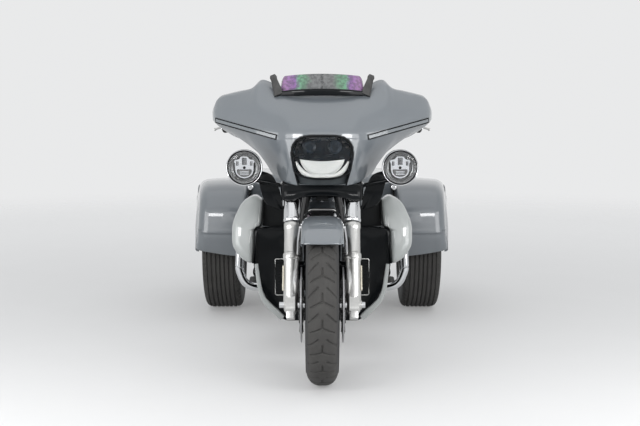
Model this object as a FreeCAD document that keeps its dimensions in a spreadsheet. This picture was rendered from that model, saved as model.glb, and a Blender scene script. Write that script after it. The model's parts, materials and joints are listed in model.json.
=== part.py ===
"""A touring trike: one steered front wheel, two driven rear wheels, fork-mounted fairing, rear trunk.

Frame: +Z up, the front faces -Y, +X is the rider's left side.  Origin on the ground, at the centre of the
overall length and width.  Millimetres.
"""
import FreeCAD, Part
import math
import os
from FreeCAD import Placement, Rotation, Vector

doc = FreeCAD.newDocument("trike")
sheet = doc.addObject("Spreadsheet::Sheet", "dims")

# alias, value, meaning
driving_dimensions = [
    ("half_length", 1335, "half of the overall length"),
    ("half_width", 695, "half of the overall width, over the rear fenders"),
    ("wheelbase", 1670, "front axle to rear axle"),
    ("front_radius", 319, "front tyre outer radius"),
    ("front_half_width", 65, "front tyre half width"),
    ("front_bead", 241, "front rim seat radius"),
    ("rear_radius", 325, "rear tyre outer radius"),
    ("rear_half_width", 102, "rear tyre half width"),
    ("rear_bead", 193, "rear rim seat radius"),
    ("rear_track_half", 531, "centre plane to rear tyre centre"),
    ("rake", 26, "steering axis from the vertical, degrees"),
    ("fork_offset", 50, "fork legs ahead of the steering axis"),
    ("fork_half_spacing", 125, "centre plane to a fork leg"),
    ("slider_radius", 30, "fork slider radius"),
    ("cover_radius", 33, "upper fork cover radius"),
    ("slider_top", 320, "top of the sliders along the steering axis"),
    ("clamp_low", 470, "underside of the lower triple clamp along the steering axis"),
    ("clamp_high", 640, "underside of the upper triple clamp along the steering axis"),
    ("clamp_thick", 34, "triple clamp thickness"),
    ("axle_radius", 12.5, "front axle radius"),
    ("disc_radius", 150, "front brake disc radius"),
    ("disc_half_spacing", 83, "centre plane to a front brake disc"),
    ("tube_radius", 17, "frame tube radius"),
    ("guard_radius", 16, "engine guard tube radius"),
    ("bar_radius", 14, "handlebar radius"),
    ("grip_radius", 19, "hand grip radius"),
    ("grip_end", 438, "centre plane to the outer end of a grip"),
    ("muffler_radius", 46, "muffler radius"),
    ("muffler_half_spacing", 318, "centre plane to a muffler"),
    ("muffler_height", 232, "muffler centre above the ground"),
    ("lamp_radius", 74, "passing lamp radius"),
    ("lamp_half_spacing", 316, "centre plane to a passing lamp"),
    ("lamp_height", 859, "passing lamp centre above the ground"),
    ("housing_radius", 38, "rear axle housing radius"),
    ("well_radius", 374, "rear wheel well radius"),
    ("arch_radius", 350, "opening in the outer wall of a rear fender"),
    ("trunk_half_width", 384, "half width of the trunk tub"),
    ("trunk_floor", 430, "underside of the trunk floor"),
    ("wall", 6, "panel thickness of the trunk tub"),
]
for row, (alias, value, meaning) in enumerate(driving_dimensions, start=1):
    sheet.set("A%d" % row, alias)
    sheet.set("B%d" % row, str(value))
    sheet.set("C%d" % row, meaning)
    sheet.setAlias("B%d" % row, alias)
doc.recompute()


def dim(alias):
    """The value of a cell of the sheet."""
    return float(sheet.get(alias))


front_axle_y = -dim("half_length") + dim("front_radius")
rear_axle_y = front_axle_y + dim("wheelbase")
front_axle_expr = "dims.front_radius - dims.half_length"
rear_axle_expr = "dims.front_radius - dims.half_length + dims.wheelbase"
rake = math.radians(dim("rake"))
steer_up = Vector(0, math.sin(rake), math.cos(rake))
steer_ahead = Vector(0, -math.cos(rake), math.sin(rake))
# The steering axis passes fork_offset behind the front axle; steer_foot is its point level with the axle.
steer_foot = Vector(0, front_axle_y + dim("fork_offset") / math.cos(rake), dim("front_radius"))
tilt = Rotation(Vector(1, 0, 0), -dim("rake"))

nodes = {}


def on_steering(along, ahead=0.0, side=0.0):
    """The point at a distance along the steering axis, ahead of it and to its side."""
    return steer_foot + steer_up * along + steer_ahead * ahead + Vector(side, 0, 0)


def keep(label, thing):
    """Names an object as a node of the part."""
    thing.Label = label
    nodes[label] = thing
    return thing


def feature(name, shape):
    """A Part::Feature with a shape of its own."""
    made = doc.addObject("Part::Feature", name)
    made.Shape = shape
    return made


def bind(thing, **expressions):
    """Binds properties to the sheet; a double underscore stands for a point, as in Placement__Base__x."""
    for name, expression in expressions.items():
        thing.setExpression(name.replace("__", "."), expression)
    return thing


def cylinder(name, start, end, radius):
    """A Part::Cylinder from one point to another, its radius a number or a cell's alias."""
    start, end = Vector(start), Vector(end)
    made = doc.addObject("Part::Cylinder", name)
    made.Height = (end - start).Length
    made.Placement = Placement(start, Rotation(Vector(0, 0, 1), end - start))
    if isinstance(radius, str):
        bind(made, Radius="dims." + radius)
    else:
        made.Radius = radius
    return made


def fuse(name, things):
    made = doc.addObject("Part::MultiFuse", name)
    made.Shapes = things
    made.Refine = True
    return made


def cut(name, base, tool):
    made = doc.addObject("Part::Cut", name)
    made.Base = base
    made.Tool = tool
    return made


def pair(name, build):
    """The two sides of a piece in one compound; build(side) gives a shape, side is +1 on the rider's left."""
    return feature(name, Part.Compound([build(1), build(-1)]))


def corners(points):
    """Points with a radius to rounded corner edges: each point is (u, v) or (u, v, radius)."""
    edges = []
    count = len(points)
    flat = [Vector(p[0], p[1], 0) for p in points]
    ends = []
    for i, p in enumerate(points):
        before, here, after = flat[i - 1], flat[i], flat[(i + 1) % count]
        radius = p[2] if len(p) > 2 else 0
        if not radius:
            ends.append((here, here, None))
            continue
        to_before, to_after = (before - here).normalize(), (after - here).normalize()
        half = to_before.getAngle(to_after) / 2
        reach = radius / math.tan(half)
        middle = here + (to_before + to_after).normalize() * (radius / math.sin(half) - radius)
        ends.append((here + to_before * reach, here + to_after * reach, middle))
    for i, (arrive, leave, middle) in enumerate(ends):
        if middle is not None:
            edges.append(Part.Arc(arrive, middle, leave))
        following = ends[(i + 1) % count][0]
        if (following - leave).Length > 1e-6:
            edges.append(Part.LineSegment(leave, following))
    return edges


plane_maps = {
    "XY": lambda u, v, w: Vector(u, v, w),
    "XZ": lambda u, v, w: Vector(u, w, v),
    "YZ": lambda u, v, w: Vector(w, u, v),
}


def wire(points, plane="XZ", offset=0.0):
    """A closed wire of rounded corners in a plane, offset along its normal."""
    place = plane_maps[plane]
    edges = []
    for curve in corners(points):
        if isinstance(curve, Part.LineSegment):
            ends = [place(p.x, p.y, offset) for p in (curve.StartPoint, curve.EndPoint)]
            edges.append(Part.LineSegment(*ends).toShape())
        else:
            low, high = curve.FirstParameter, curve.LastParameter
            three = [curve.value(t) for t in (low, (low + high) / 2, high)]
            edges.append(Part.Arc(*[place(p.x, p.y, offset) for p in three]).toShape())
    return Part.Wire(Part.__sortEdges__(edges))


def slab(points, plane, low, high):
    """A solid plate: an outline carried from low to high along the plane's normal."""
    face = Part.Face(wire(points, plane, low))
    return face.extrude(plane_maps[plane](0, 0, high - low))


def loft(wires, ruled=False):
    """A solid through closed wires."""
    return Part.makeLoft(wires, True, ruled)


def mirrored(shape):
    """The same shape on the other side of the centre plane."""
    return shape.mirror(Vector(0, 0, 0), Vector(1, 0, 0))


def tube(points, radius, bend):
    """A round bar along straight runs joined by arcs of one bend radius."""
    points = [Vector(*p) for p in points]
    edges = []
    start = points[0]
    for before, here, after in zip(points, points[1:], points[2:]):
        to_before, to_after = (before - here).normalize(), (after - here).normalize()
        half = to_before.getAngle(to_after) / 2
        reach = bend / math.tan(half)
        middle = here + (to_before + to_after).normalize() * (bend / math.sin(half) - bend)
        edges.append(Part.LineSegment(start, here + to_before * reach).toShape())
        edges.append(Part.Arc(here + to_before * reach, middle, here + to_after * reach).toShape())
        start = here + to_after * reach
    edges.append(Part.LineSegment(start, points[-1]).toShape())
    path = Part.Wire(edges)
    profile = Part.Wire(Part.Circle(points[0], points[1] - points[0], radius).toShape())
    return path.makePipeShell([profile], True, False)


def sketch_on(body, role, curves):
    """A sketch on one of a body's own origin planes, holding the given curves."""
    sketch = body.newObject("Sketcher::SketchObject", body.Name + "_sketch")
    plane = [f for f in body.Origin.OriginFeatures if f.Role == role][0]
    sketch.AttachmentSupport = [(plane, "")]
    sketch.MapMode = "FlatFace"
    sketch.addGeometry(curves, False)
    return sketch


def turned_body(name, profile):
    """A PartDesign body: a profile of (across, radius) corners turned about the X axis."""
    body = doc.addObject("PartDesign::Body", name)
    sketch = sketch_on(body, "XZ_Plane", corners(profile))
    doc.recompute()
    turn = body.newObject("PartDesign::Revolution", name + "_turn")
    turn.Profile = sketch
    turn.ReferenceAxis = (sketch, ["H_Axis"])
    turn.Angle = 360
    body.Tip = turn
    return body


def at_front_axle(body):
    bind(body, Placement__Base__y=front_axle_expr, Placement__Base__z="dims.front_radius")
    return body


def at_rear_axle(body, side):
    sign = "" if side > 0 else "-"
    bind(
        body,
        Placement__Base__x=sign + "dims.rear_track_half",
        Placement__Base__y=rear_axle_expr,
        Placement__Base__z="dims.rear_radius",
    )
    return body


sides = [("left", 1), ("right", -1)]


# ---------------------------------------------------------------- wheels
def front_wheel():
    radius, half, bead = dim("front_radius"), dim("front_half_width"), dim("front_bead")
    tyre = turned_body(
        "front_tyre_body",
        [
            (-46, bead),
            (-58, bead + 6, 4),
            (-half, bead + 28, 8),
            (-half, bead + 40, 8),
            (-half + 14, radius - 20, 14),
            (-26, radius, 26),
            (26, radius, 26),
            (half - 14, radius - 20, 14),
            (half, bead + 40, 8),
            (half, bead + 28, 8),
            (58, bead + 6, 4),
            (46, bead),
        ],
    )
    keep("front_tyre", at_front_axle(tyre))
    rim = turned_body(
        "front_rim_body",
        [(-58, bead), (-58, bead - 4), (-40, bead - 20, 6), (40, bead - 20, 6), (58, bead - 4), (58, bead),
         (46, bead), (-46, bead)],
    )
    at_front_axle(rim)
    hub = turned_body(
        "front_hub_body",
        [(-72, 13.5), (-72, 40), (-36, 46, 6), (36, 46, 6), (72, 40), (72, 13.5)],
    )
    at_front_axle(hub)
    spokes = []
    for i in range(9):
        spoke = slab([(-17, 40), (17, 40), (11, bead - 17), (-11, bead - 17)], "YZ", -15, 15)
        spoke.rotate(Vector(0, 0, 0), Vector(1, 0, 0), 40 * i)
        spokes.append(spoke)
    star = feature("front_spokes", spokes[0].multiFuse(spokes[1:]))
    star.Placement = Placement(Vector(0, front_axle_y, dim("front_radius")), Rotation())
    keep("front_rim", fuse("front_rim_solid", [rim, hub, star]))
    discs = []
    for side in (1, -1):
        disc = turned_body(
            "front_disc_body_%s" % ("left" if side > 0 else "right"),
            [(-2.5, 100), (-2.5, dim("disc_radius")), (2.5, dim("disc_radius")), (2.5, 100)],
        )
        carrier = turned_body(
            "front_carrier_%s" % ("left" if side > 0 else "right"),
            [(-11 * side, 13.5), (-11 * side, 38), (-2.5 * side, 60), (-2.5 * side, 100),
             (2.5 * side, 100), (2.5 * side, 52), (-2 * side, 34), (-2 * side, 13.5)],
        )
        for made in (disc, carrier):
            at_front_axle(made)
            bind(made, Placement__Base__x=("" if side > 0 else "-") + "dims.disc_half_spacing")
        discs += [disc, carrier]
    keep("front_brake_discs", fuse("front_discs", discs))


def rear_wheel(name, side):
    radius, half, bead = dim("rear_radius"), dim("rear_half_width"), dim("rear_bead")
    tyre = turned_body(
        name + "_rear_tyre_body",
        [
            (-74, bead),
            (-86, bead + 8, 5),
            (-half, bead + 62, 40),
            (-half + 6, radius - 20, 16),
            (-half + 30, radius, 24),
            (half - 30, radius, 24),
            (half - 6, radius - 20, 16),
            (half, bead + 62, 40),
            (86, bead + 8, 5),
            (74, bead),
        ],
    )
    keep(name + "_rear_tyre", at_rear_axle(tyre, side))
    out = side  # +1 when the wheel's face looks along +X
    rim = turned_body(
        name + "_rear_rim_body",
        [(-88, bead), (-88, bead - 5), (-66, bead - 22, 6), (66, bead - 22, 6), (88, bead - 5), (88, bead),
         (74, bead), (-74, bead)],
    )
    face = turned_body(
        name + "_rear_face_body",
        [(30 * out, 0), (30 * out, 70), (44 * out, bead - 14), (58 * out, bead - 14), (46 * out, 66),
         (62 * out, 40), (62 * out, 0)],
    )
    for made in (rim, face):
        at_rear_axle(made, side)
    windows = []
    window_outline = [(-12, 84, 6), (12, 84, 6), (30, bead - 34, 8), (-30, bead - 34, 8)]
    for i in range(9):
        window = slab(window_outline, "YZ", min(0, 90 * out), max(0, 90 * out))
        window.rotate(Vector(0, 0, 0), Vector(1, 0, 0), 40 * i)
        windows.append(window)
    openings = feature(name + "_rear_windows", Part.Compound(windows))
    openings.Placement = Placement(
        Vector(out * dim("rear_track_half"), rear_axle_y, dim("rear_radius")), Rotation()
    )
    pierced = cut(name + "_rear_pierced", face, openings)
    disc = turned_body(
        name + "_rear_disc_body",
        [(-14 * out, 0), (-14 * out, 150), (-4 * out, 150), (-4 * out, 62), (30 * out, 62), (30 * out, 0)],
    )
    at_rear_axle(disc, side)
    keep(name + "_rear_rim", fuse(name + "_rear_rim_solid", [rim, pierced, disc]))


# ---------------------------------------------------------------- steered parts
def fork():
    spacing = dim("fork_half_spacing")
    offset = dim("fork_offset")
    low, high, thick = dim("clamp_low"), dim("clamp_high"), dim("clamp_thick")

    def leg_solid(side, start, end, radius):
        a, b = on_steering(start, offset, side * spacing), on_steering(end, offset, side * spacing)
        return Part.makeCylinder(radius, (b - a).Length, a, b - a)

    def slider(side):
        foot = leg_solid(side, -58, dim("slider_top"), dim("slider_radius"))
        collar = leg_solid(side, 168, 186, dim("slider_radius") + 4)
        bore_start = Vector(side * spacing - 50, front_axle_y, dim("front_radius"))
        bore = Part.makeCylinder(dim("axle_radius"), 100, bore_start, Vector(1, 0, 0))
        return foot.fuse(collar).cut(bore)

    def cover(side):
        return leg_solid(side, dim("slider_top"), low, dim("cover_radius"))

    def upper(side):
        return leg_solid(side, low + thick, high, 27)

    keep("fork_sliders", pair("sliders", slider))
    covers = [made(side) for made in (cover, upper) for side in (1, -1)]
    keep("fork_covers", feature("covers", Part.Compound(covers)))
    axle_end = spacing + 46
    axle = cylinder(
        "axle",
        (-axle_end, front_axle_y, dim("front_radius")),
        (axle_end, front_axle_y, dim("front_radius")),
        "axle_radius",
    )
    bind(axle, Placement__Base__y=front_axle_expr, Placement__Base__z="dims.front_radius")
    keep("front_axle", axle)

    def clamp(along):
        outline = [(-spacing - 42, offset - 40, 30), (-60, -46, 30), (60, -46, 30),
                   (spacing + 42, offset - 40, 30), (spacing + 42, offset + 44, 40), (60, offset + 24, 30),
                   (-60, offset + 24, 30), (-spacing - 42, offset + 44, 40)]
        plate = slab([(u, -v, r) for u, v, r in outline], "XY", 0, thick)
        plate.Placement = Placement(on_steering(along), tilt)
        return plate

    stem = Part.makeCylinder(16, high - low, on_steering(low), steer_up)
    return keep("triple_clamps", feature("clamps", clamp(low).multiFuse([stem, clamp(high)]))).Shape


def calipers():
    """A four-piston caliper on each disc, behind the fork leg."""
    def caliper(side):
        middle = side * dim("disc_half_spacing")
        outline = [(118, 62, 14), (200, 62, 14), (200, -52, 14), (118, -52, 14)]
        block = slab(outline, "YZ", middle - side * 26, middle + side * 40)
        slot = Part.makeCylinder(dim("disc_radius") + 6, 12, Vector(middle - 6, 0, 0), Vector(1, 0, 0))
        block = block.cut(slot)
        tyre_room = Part.makeCylinder(240, 60, Vector(-30, 0, 0), Vector(1, 0, 0))
        block = block.cut(tyre_room)
        block.rotate(Vector(0, 0, 0), Vector(1, 0, 0), 38)
        block.translate(Vector(0, front_axle_y, dim("front_radius")))
        spacing = dim("fork_half_spacing")
        a = on_steering(-58, dim("fork_offset"), side * spacing)
        b = on_steering(400, dim("fork_offset"), side * spacing)
        leg = Part.makeCylinder(dim("slider_radius") + 4.3, (b - a).Length, a, b - a)
        return block.cut(leg)

    keep("brake_calipers", pair("calipers", caliper))


def front_fender():
    """Sheet over the front tyre, from ahead of the crown to low behind the wheel."""
    profile = [(-82, 300, 4), (-82, 342, 22), (-60, 355, 40), (60, 355, 40), (82, 342, 22), (82, 300, 4),
               (78, 300), (78, 338, 20), (58, 350, 36), (-58, 350, 36), (-78, 338, 20), (-78, 300)]
    # the profile lies above the axle and turns about X from 38 degrees ahead to 96 degrees behind
    face = Part.Face(wire(profile, "XZ"))
    face.rotate(Vector(0, 0, 0), Vector(1, 0, 0), 38)
    body = face.revolve(Vector(0, 0, 0), Vector(1, 0, 0), -134)
    body.translate(Vector(0, front_axle_y, dim("front_radius")))
    keep("front_fender", feature("fender_front", body))


# Front view of the fairing at four stations: half outline as (across, height), centre bottom to centre top
fairing_stations = [
    # y, outline
    (-930, [(0, 800), (96, 800), (118, 830), (134, 900), (134, 960),
            (126, 1000), (100, 1012), (60, 1016), (30, 1017), (0, 1017)]),
    (-860, [(0, 790), (108, 790), (168, 822), (214, 880), (262, 940),
            (276, 990), (262, 1046), (180, 1086), (90, 1096), (0, 1098)]),
    (-760, [(0, 788), (120, 788), (196, 818), (262, 896), (338, 958),
            (408, 1010), (404, 1096), (290, 1142), (180, 1156), (0, 1162)]),
    (-590, [(0, 792), (124, 792), (206, 822), (262, 900), (372, 980),
            (471, 1044), (468, 1118), (420, 1162), (262, 1206), (0, 1196)]),
]


def station_wire(y, half, shrink=0.0):
    """A closed straight-sided wire from a half outline; shrink moves every corner towards the middle."""
    middle = sum(z for _, z in half) / len(half)
    points = []
    for x, z in half:
        reach = math.hypot(x, z - middle) or 1.0
        points.append((x - shrink * x / reach, z - shrink * (z - middle) / reach))
    loop = [(x, z) for x, z in points] + [(-x, z) for x, z in reversed(points[1:-1])]
    return wire(loop, "XZ", y)


bar_half = [(70, -690, 992), (190, -640, 1046), (300, -540, 1040)]


def bar_points():
    """The centre line of the handlebar, from the right grip's end to the left one's."""
    half = bar_half + [(dim("grip_end"), -396, 1004)]
    return [(-x, y, z) for x, y, z in reversed(half)] + half


def fairing(clamps):
    outer = loft([station_wire(y, half) for y, half in fairing_stations], True)
    inner_wires = [station_wire(y + 9, half, 9) for y, half in fairing_stations[:-1]]
    last_y, last_half = fairing_stations[-1]
    inner_wires.append(station_wire(last_y + 1, last_half, 9))
    shell = outer.cut(loft(inner_wires, True))
    lamp_hole = slab([(-112, 812, 40), (112, 812, 40), (131, 900, 60),
                      (126, 990, 44), (-126, 990, 44), (-131, 900, 60)], "XZ", -940, -780)
    # open below round the fork, and behind it where the fairing turns over the frame and the tank
    fork_room = slab([(-178, -862), (178, -862), (178, -700),
                      (262, -570), (-262, -570), (-178, -700)], "XY", 740, 834)
    frame_room = slab([(-150, -740), (150, -740), (230, -570), (-230, -570)], "XY", 740, 906)
    shell = shell.cut(lamp_hole).cut(fork_room).cut(frame_room)
    keep("fairing_outer", feature("outer_fairing", shell))
    panel = slab([(0, 912), (200, 912, 30), (262, 950), (372, 1010), (440, 1060), (440, 1110),
                  (400, 1140), (262, 1170), (0, 1166), (-262, 1170), (-400, 1140), (-440, 1110),
                  (-440, 1060), (-372, 1010), (-262, 950), (-200, 912, 30)], "XZ", -640, -628)
    bar_room = tube(bar_points(), dim("bar_radius") + 6, 50)
    panel = panel.common(loft(inner_wires, True)).cut(bar_room).cut(clamps)
    keep("fairing_inner", feature("inner_fairing", max(panel.Solids, key=lambda solid: solid.Volume)))
    return outer


def headlight():
    bezel = slab([(-110, 814, 38), (110, 814, 38), (129, 900, 58),
                  (124, 988, 42), (-124, 988, 42), (-129, 900, 58)], "XZ", -934, -860)
    hollow = slab([(-102, 824, 32), (102, 824, 32), (120, 900, 52),
                   (115, 979, 36), (-115, 979, 36), (-120, 900, 52)], "XZ", -935, -874)
    keep("headlight_housing", feature("headlight_shell", bezel.cut(hollow)))
    glass = slab([(-101, 825, 31), (101, 825, 31), (119, 900, 51),
                  (114, 978, 35), (-114, 978, 35), (-119, 900, 51)], "XZ", -932, -922)
    keep("headlight_lens", feature("headlight_glass", glass))


def passing_lamps(clamps):
    height, spacing = dim("lamp_height"), dim("lamp_half_spacing")

    def lamp(side):
        rim, back = Vector(side * spacing, -900, height), Vector(side * spacing, -876, height)
        ring = Part.makeCylinder(dim("lamp_radius"), 24, rim, Vector(0, 1, 0))
        bowl = Part.makeCone(dim("lamp_radius"), 34, 74, back, Vector(0, 1, 0))
        return ring.fuse(bowl)

    def arm(side):
        outer = Vector(side * spacing, -826, height - 40)
        inner_side = side * (dim("fork_half_spacing") + 44)
        inner = on_steering(dim("clamp_low") + 17, dim("fork_offset"), inner_side)
        return Part.makeCylinder(9, (inner - outer).Length, outer, inner - outer)

    keep("passing_lamps", pair("lamps", lambda side: lamp(side).fuse(arm(side)).cut(clamps)))


def windshield():
    def curved(z, y, half, thickness):
        front = [Vector(-half, y + 30, z), Vector(0, y, z), Vector(half, y + 30, z)]
        back = [point + Vector(0, thickness, 0) for point in front]
        return Part.Wire([
            Part.Arc(*front).toShape(),
            Part.LineSegment(front[2], back[2]).toShape(),
            Part.Arc(*reversed(back)).toShape(),
            Part.LineSegment(back[0], front[0]).toShape(),
        ])

    sheet_solid = loft([curved(1176, -780, 178, 5), curved(1241, -726, 172, 5)], True)
    keep("windshield", feature("screen", sheet_solid))


def handlebar(clamps):
    bend, end = [Vector(*p) for p in bar_points()[-2:]]
    bar = tube(bar_points(), dim("bar_radius"), 50)
    risers = []
    for side in (1, -1):
        foot = on_steering(dim("clamp_high") + dim("clamp_thick"), 6, side * 44)
        head = Vector(side * 44, -690, 992)
        risers.append(Part.makeCylinder(17, (head - foot).Length, foot, head - foot))
    keep("handlebar", feature("bar", bar.fuse(risers).cut(clamps)))
    along = (end - bend).normalize()

    def grip(side):
        solid = Part.makeCylinder(dim("grip_radius"), 124, end - along * 122, along)
        solid = solid.cut(Part.makeCylinder(dim("bar_radius"), 122, end - along * 122, along))
        return solid if side > 0 else mirrored(solid)

    def lever(side):
        ahead = Vector(-along.y, along.x, 0).normalize() * -1
        if ahead.y > 0:
            ahead = ahead * -1
        root = end - along * 176 + ahead * 40
        perch = end - along * 176 + ahead * dim("bar_radius")
        blade = Part.makeCylinder(5, 176, root, along * 176 + ahead * 14)
        clamp = Part.makeCylinder(8, 40, perch, ahead)
        solid = blade.fuse(clamp)
        return solid if side > 0 else mirrored(solid)

    parts = [made(side) for made in (grip, lever) for side in (1, -1)]
    keep("hand_controls", feature("controls", Part.Compound(parts)))

    def mirror(side):
        foot = end - along * 210 + Vector(0, 0, dim("bar_radius") + 3)
        head = foot + Vector(26, -6, 46)
        stalk = Part.makeCylinder(5, (head - foot).Length, foot, head - foot)
        glass = slab([(-76, -30, 26), (76, -36, 24), (84, 30, 28), (-70, 36, 28)], "XZ", -8, 8)
        glass.translate(head + Vector(20, 0, 20))
        solid = stalk.fuse(glass)
        return solid if side > 0 else mirrored(solid)

    keep("mirrors", pair("mirror_pair", mirror))


def steered_trim(outer, clamps):
    """The skirt round the fork under the fairing, the side deflectors, the screen's trim and mounts."""
    skirt = slab([(-166, 728, 20), (166, 728, 20), (176, 785), (-176, 785)], "XZ", -868, -700)
    skirt = skirt.cut(slab([(-158, 700), (158, 700), (167, 790), (-167, 790)], "XZ", -860, -690))
    skirt = skirt.cut(clamps).cut(nodes["passing_lamps"].Shape).cut(outer)
    skirt = max(skirt.Solids, key=lambda solid: solid.Volume)

    def deflector(side):
        outline = [(166, 676, 14), (206, 682, 20), (240, 704, 24), (256, 750, 20),
                   (268, 806, 16), (262, 838, 8), (214, 824), (188, 786)]
        plate = slab(outline, "XZ", -772, -765)
        return plate if side > 0 else mirrored(plate)

    keep("fairing_skirt", feature("skirt", Part.Compound([skirt, deflector(1), deflector(-1)])))
    band = slab([(-180, -752), (-120, -786), (0, -800), (120, -786),
                 (180, -752), (176, -736), (0, -778), (-176, -736)], "XY", 1136, 1176)
    band = band.cut(outer)

    def mount(side):
        foot, head = Vector(side * 186, -752, 1150), Vector(side * 205, -702, 1238)
        bar = Part.makeCylinder(7, (head - foot).Length, foot, head - foot)
        return bar.cut(outer).cut(band)

    keep("windshield_trim", feature("screen_trim", Part.Compound([band, mount(1), mount(-1)])))


# ---------------------------------------------------------------- chassis
backbone_path = [(0, -700, 838), (0, -500, 800), (0, 40, 700), (0, 120, 640)]
rail_half = [(18, -686, 815), (58, -632, 762), (120, -535, 420), (132, -500, 190),
             (132, 160, 190), (140, 236, 330), (112, 90, 640), (112, 514, 648)]


def frame():
    low, high, thick = dim("clamp_low"), dim("clamp_high"), dim("clamp_thick")
    bottom, top = on_steering(low + thick + 3), on_steering(high - 3)
    head = Part.makeCylinder(31, (top - bottom).Length, bottom, steer_up)
    bore = Part.makeCylinder(17, (top - bottom).Length + 4, bottom - steer_up * 2, steer_up)
    tubes = [tube(backbone_path, 22, 60)]
    for side in (1, -1):
        tubes.append(tube([(side * x, y, z) for x, y, z in rail_half], dim("tube_radius"), 45))
    cross = [Part.makeCylinder(14, 264, Vector(-132, y, 190), Vector(1, 0, 0)) for y in (-420, 120)]
    gusset = slab([(-722, 790), (-640, 742), (-560, 760), (-600, 822), (-700, 850)], "YZ", -5, 5)
    solid = head.multiFuse(tubes + cross + [gusset]).cut(bore)
    return keep("frame", feature("frame_tubes", solid)).Shape


crank_y, crank_z = -200, 345


def engine():
    belt_room = Part.makeBox(60, 180, 130, Vector(56, 20, 268))
    case = slab([(-395, 236, 40), (-240, 214, 30), (40, 214, 30), (176, 240, 40), (186, 400, 40),
                 (60, 438, 30), (-70, 430, 20), (-130, 470), (-270, 470), (-330, 440, 20),
                 (-405, 360, 40)], "YZ", -104, 104)
    case = case.cut(belt_room)
    keep("engine_cases", feature("cases", case))
    barrels = []
    for lean in (22.5, -22.5):
        core = [Part.makeCylinder(56, 118, Vector(0, 0, 128), Vector(0, 0, 1))]
        for i in range(8):
            core.append(Part.makeCylinder(76, 5, Vector(0, 0, 134 + 14 * i), Vector(0, 0, 1)))
        head = slab([(-74, -62, 16), (74, -62, 16), (74, 62, 16), (-74, 62, 16)], "XY", 246, 300)
        cover = slab([(-66, -52, 18), (66, -52, 18), (66, 52, 18), (-66, 52, 18)], "XY", 300, 334)
        barrel = core[0].multiFuse(core[1:] + [head, cover])
        barrel.rotate(Vector(0, 0, 0), Vector(1, 0, 0), lean)
        barrel.translate(Vector(0, crank_y, crank_z))
        barrels.append(barrel)
    keep("engine_cylinders", feature("barrels", barrels[0].fuse(barrels[1]).cut(case)))
    primary = slab([(-330, 262, 66), (-330, 420, 66), (120, 410, 60), (150, 250, 60)], "YZ", 104, 172)
    cam = slab([(-300, 262, 50), (-300, 400, 40), (-200, 440, 50), (-100, 400, 40), (-90, 262, 50)],
               "YZ", -150, -104)
    keep("engine_covers", feature("covers_engine", Part.Compound([primary.cut(belt_room), cam])))
    cleaner = cylinder("cleaner", (-98, crank_y, 590), (-190, crank_y, 590), 84)
    keep("air_cleaner", cleaner)


guard_half = [(96, -566, 560), (240, -470, 655), (352, -468, 640), (366, -466, 500), (372, -466, 376),
              (344, -464, 300), (256, -470, 292), (150, -508, 280)]


def radiator_and_lowers(frame_solid):
    half = [(0, 177, 0), (166, 177, 10), (238, 262, 60), (288, 380, 60),
            (298, 426, 8), (290, 580, 8), (160, 592, 8), (0, 598, 0)]
    plate = slab(half + [(-x, z, r) for x, z, r in reversed(half[1:-1])], "XZ", -640, -592)
    window = slab([(-136, 250, 12), (136, 250, 12), (136, 546, 12), (-136, 546, 12)], "XZ", -650, -590)
    shroud = plate.cut(window).cut(frame_solid)
    keep("radiator_shroud", feature("shroud", shroud))
    core = slab([(-135, 251, 12), (135, 251, 12), (135, 545, 12), (-135, 545, 12)], "XZ", -630, -606)
    keep("radiator", feature("core", core))

    def lower(side):
        scoop = slab([(262, 590, 6), (258, 694, 20), (292, 720, 26), (348, 690, 60), (389, 600, 80),
                      (388, 500, 50), (346, 447, 20), (302, 425), (298, 426), (290, 580)], "XZ", -650, -500)
        strip = slab([(166, 177), (238, 262), (288, 380), (298, 426), (314, 424), (302, 372),
                      (252, 252), (178, 163), (150, 163), (150, 177)], "XZ", -648, -580)
        inner = slab([(170, 594), (262, 594), (258, 694, 10), (220, 690, 20), (160, 620)], "XZ", -610, -596)
        back = slab([(276, 600, 6), (274, 690, 14), (296, 704, 18), (340, 680, 50), (375, 596, 70),
                     (374, 508, 40), (346, 466, 16), (306, 444), (303, 580)], "XZ", -640, -490)
        solid = scoop.cut(back).fuse([strip, inner])
        solid = solid.cut(plate).cut(tube(guard_half, dim("guard_radius"), 34))
        return solid if side > 0 else mirrored(solid)

    for name, side in sides:
        keep(name + "_lower_fairing", feature(name + "_lower", lower(side)))

    def guard(side):
        solid = tube(guard_half, dim("guard_radius"), 34)
        return (solid if side > 0 else mirrored(solid)).cut(frame_solid)

    keep("engine_guard", pair("guard", guard))


def rounded_section(y, half, low, high, radius, shoulder=None):
    """An upright rounded rectangle across the vehicle at one station."""
    shoulder = shoulder or radius
    outline = [(-half, low, radius), (half, low, radius), (half, high, shoulder), (-half, high, shoulder)]
    return wire(outline, "XZ", y)


# station: y, half width, bottom, top, corner radius, top corner radius
tank_stations = [
    (-486, 62, 756, 836, 22, 34),
    (-420, 118, 722, 862, 30, 60),
    (-260, 150, 706, 876, 30, 84),
    (-90, 132, 698, 856, 28, 76),
    (14, 88, 700, 800, 24, 44),
]
rider_stations = [
    (18, 84, 702, 772, 20, 30),
    (110, 150, 662, 742, 24, 36),
    (230, 176, 662, 732, 24, 36),
    (330, 172, 668, 780, 24, 40),
]
passenger_stations = [
    (332, 150, 668, 806, 24, 44),
    (440, 158, 668, 826, 26, 46),
    (600, 148, 742, 824, 26, 40),
    (676, 104, 744, 800, 22, 26),
]


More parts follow.
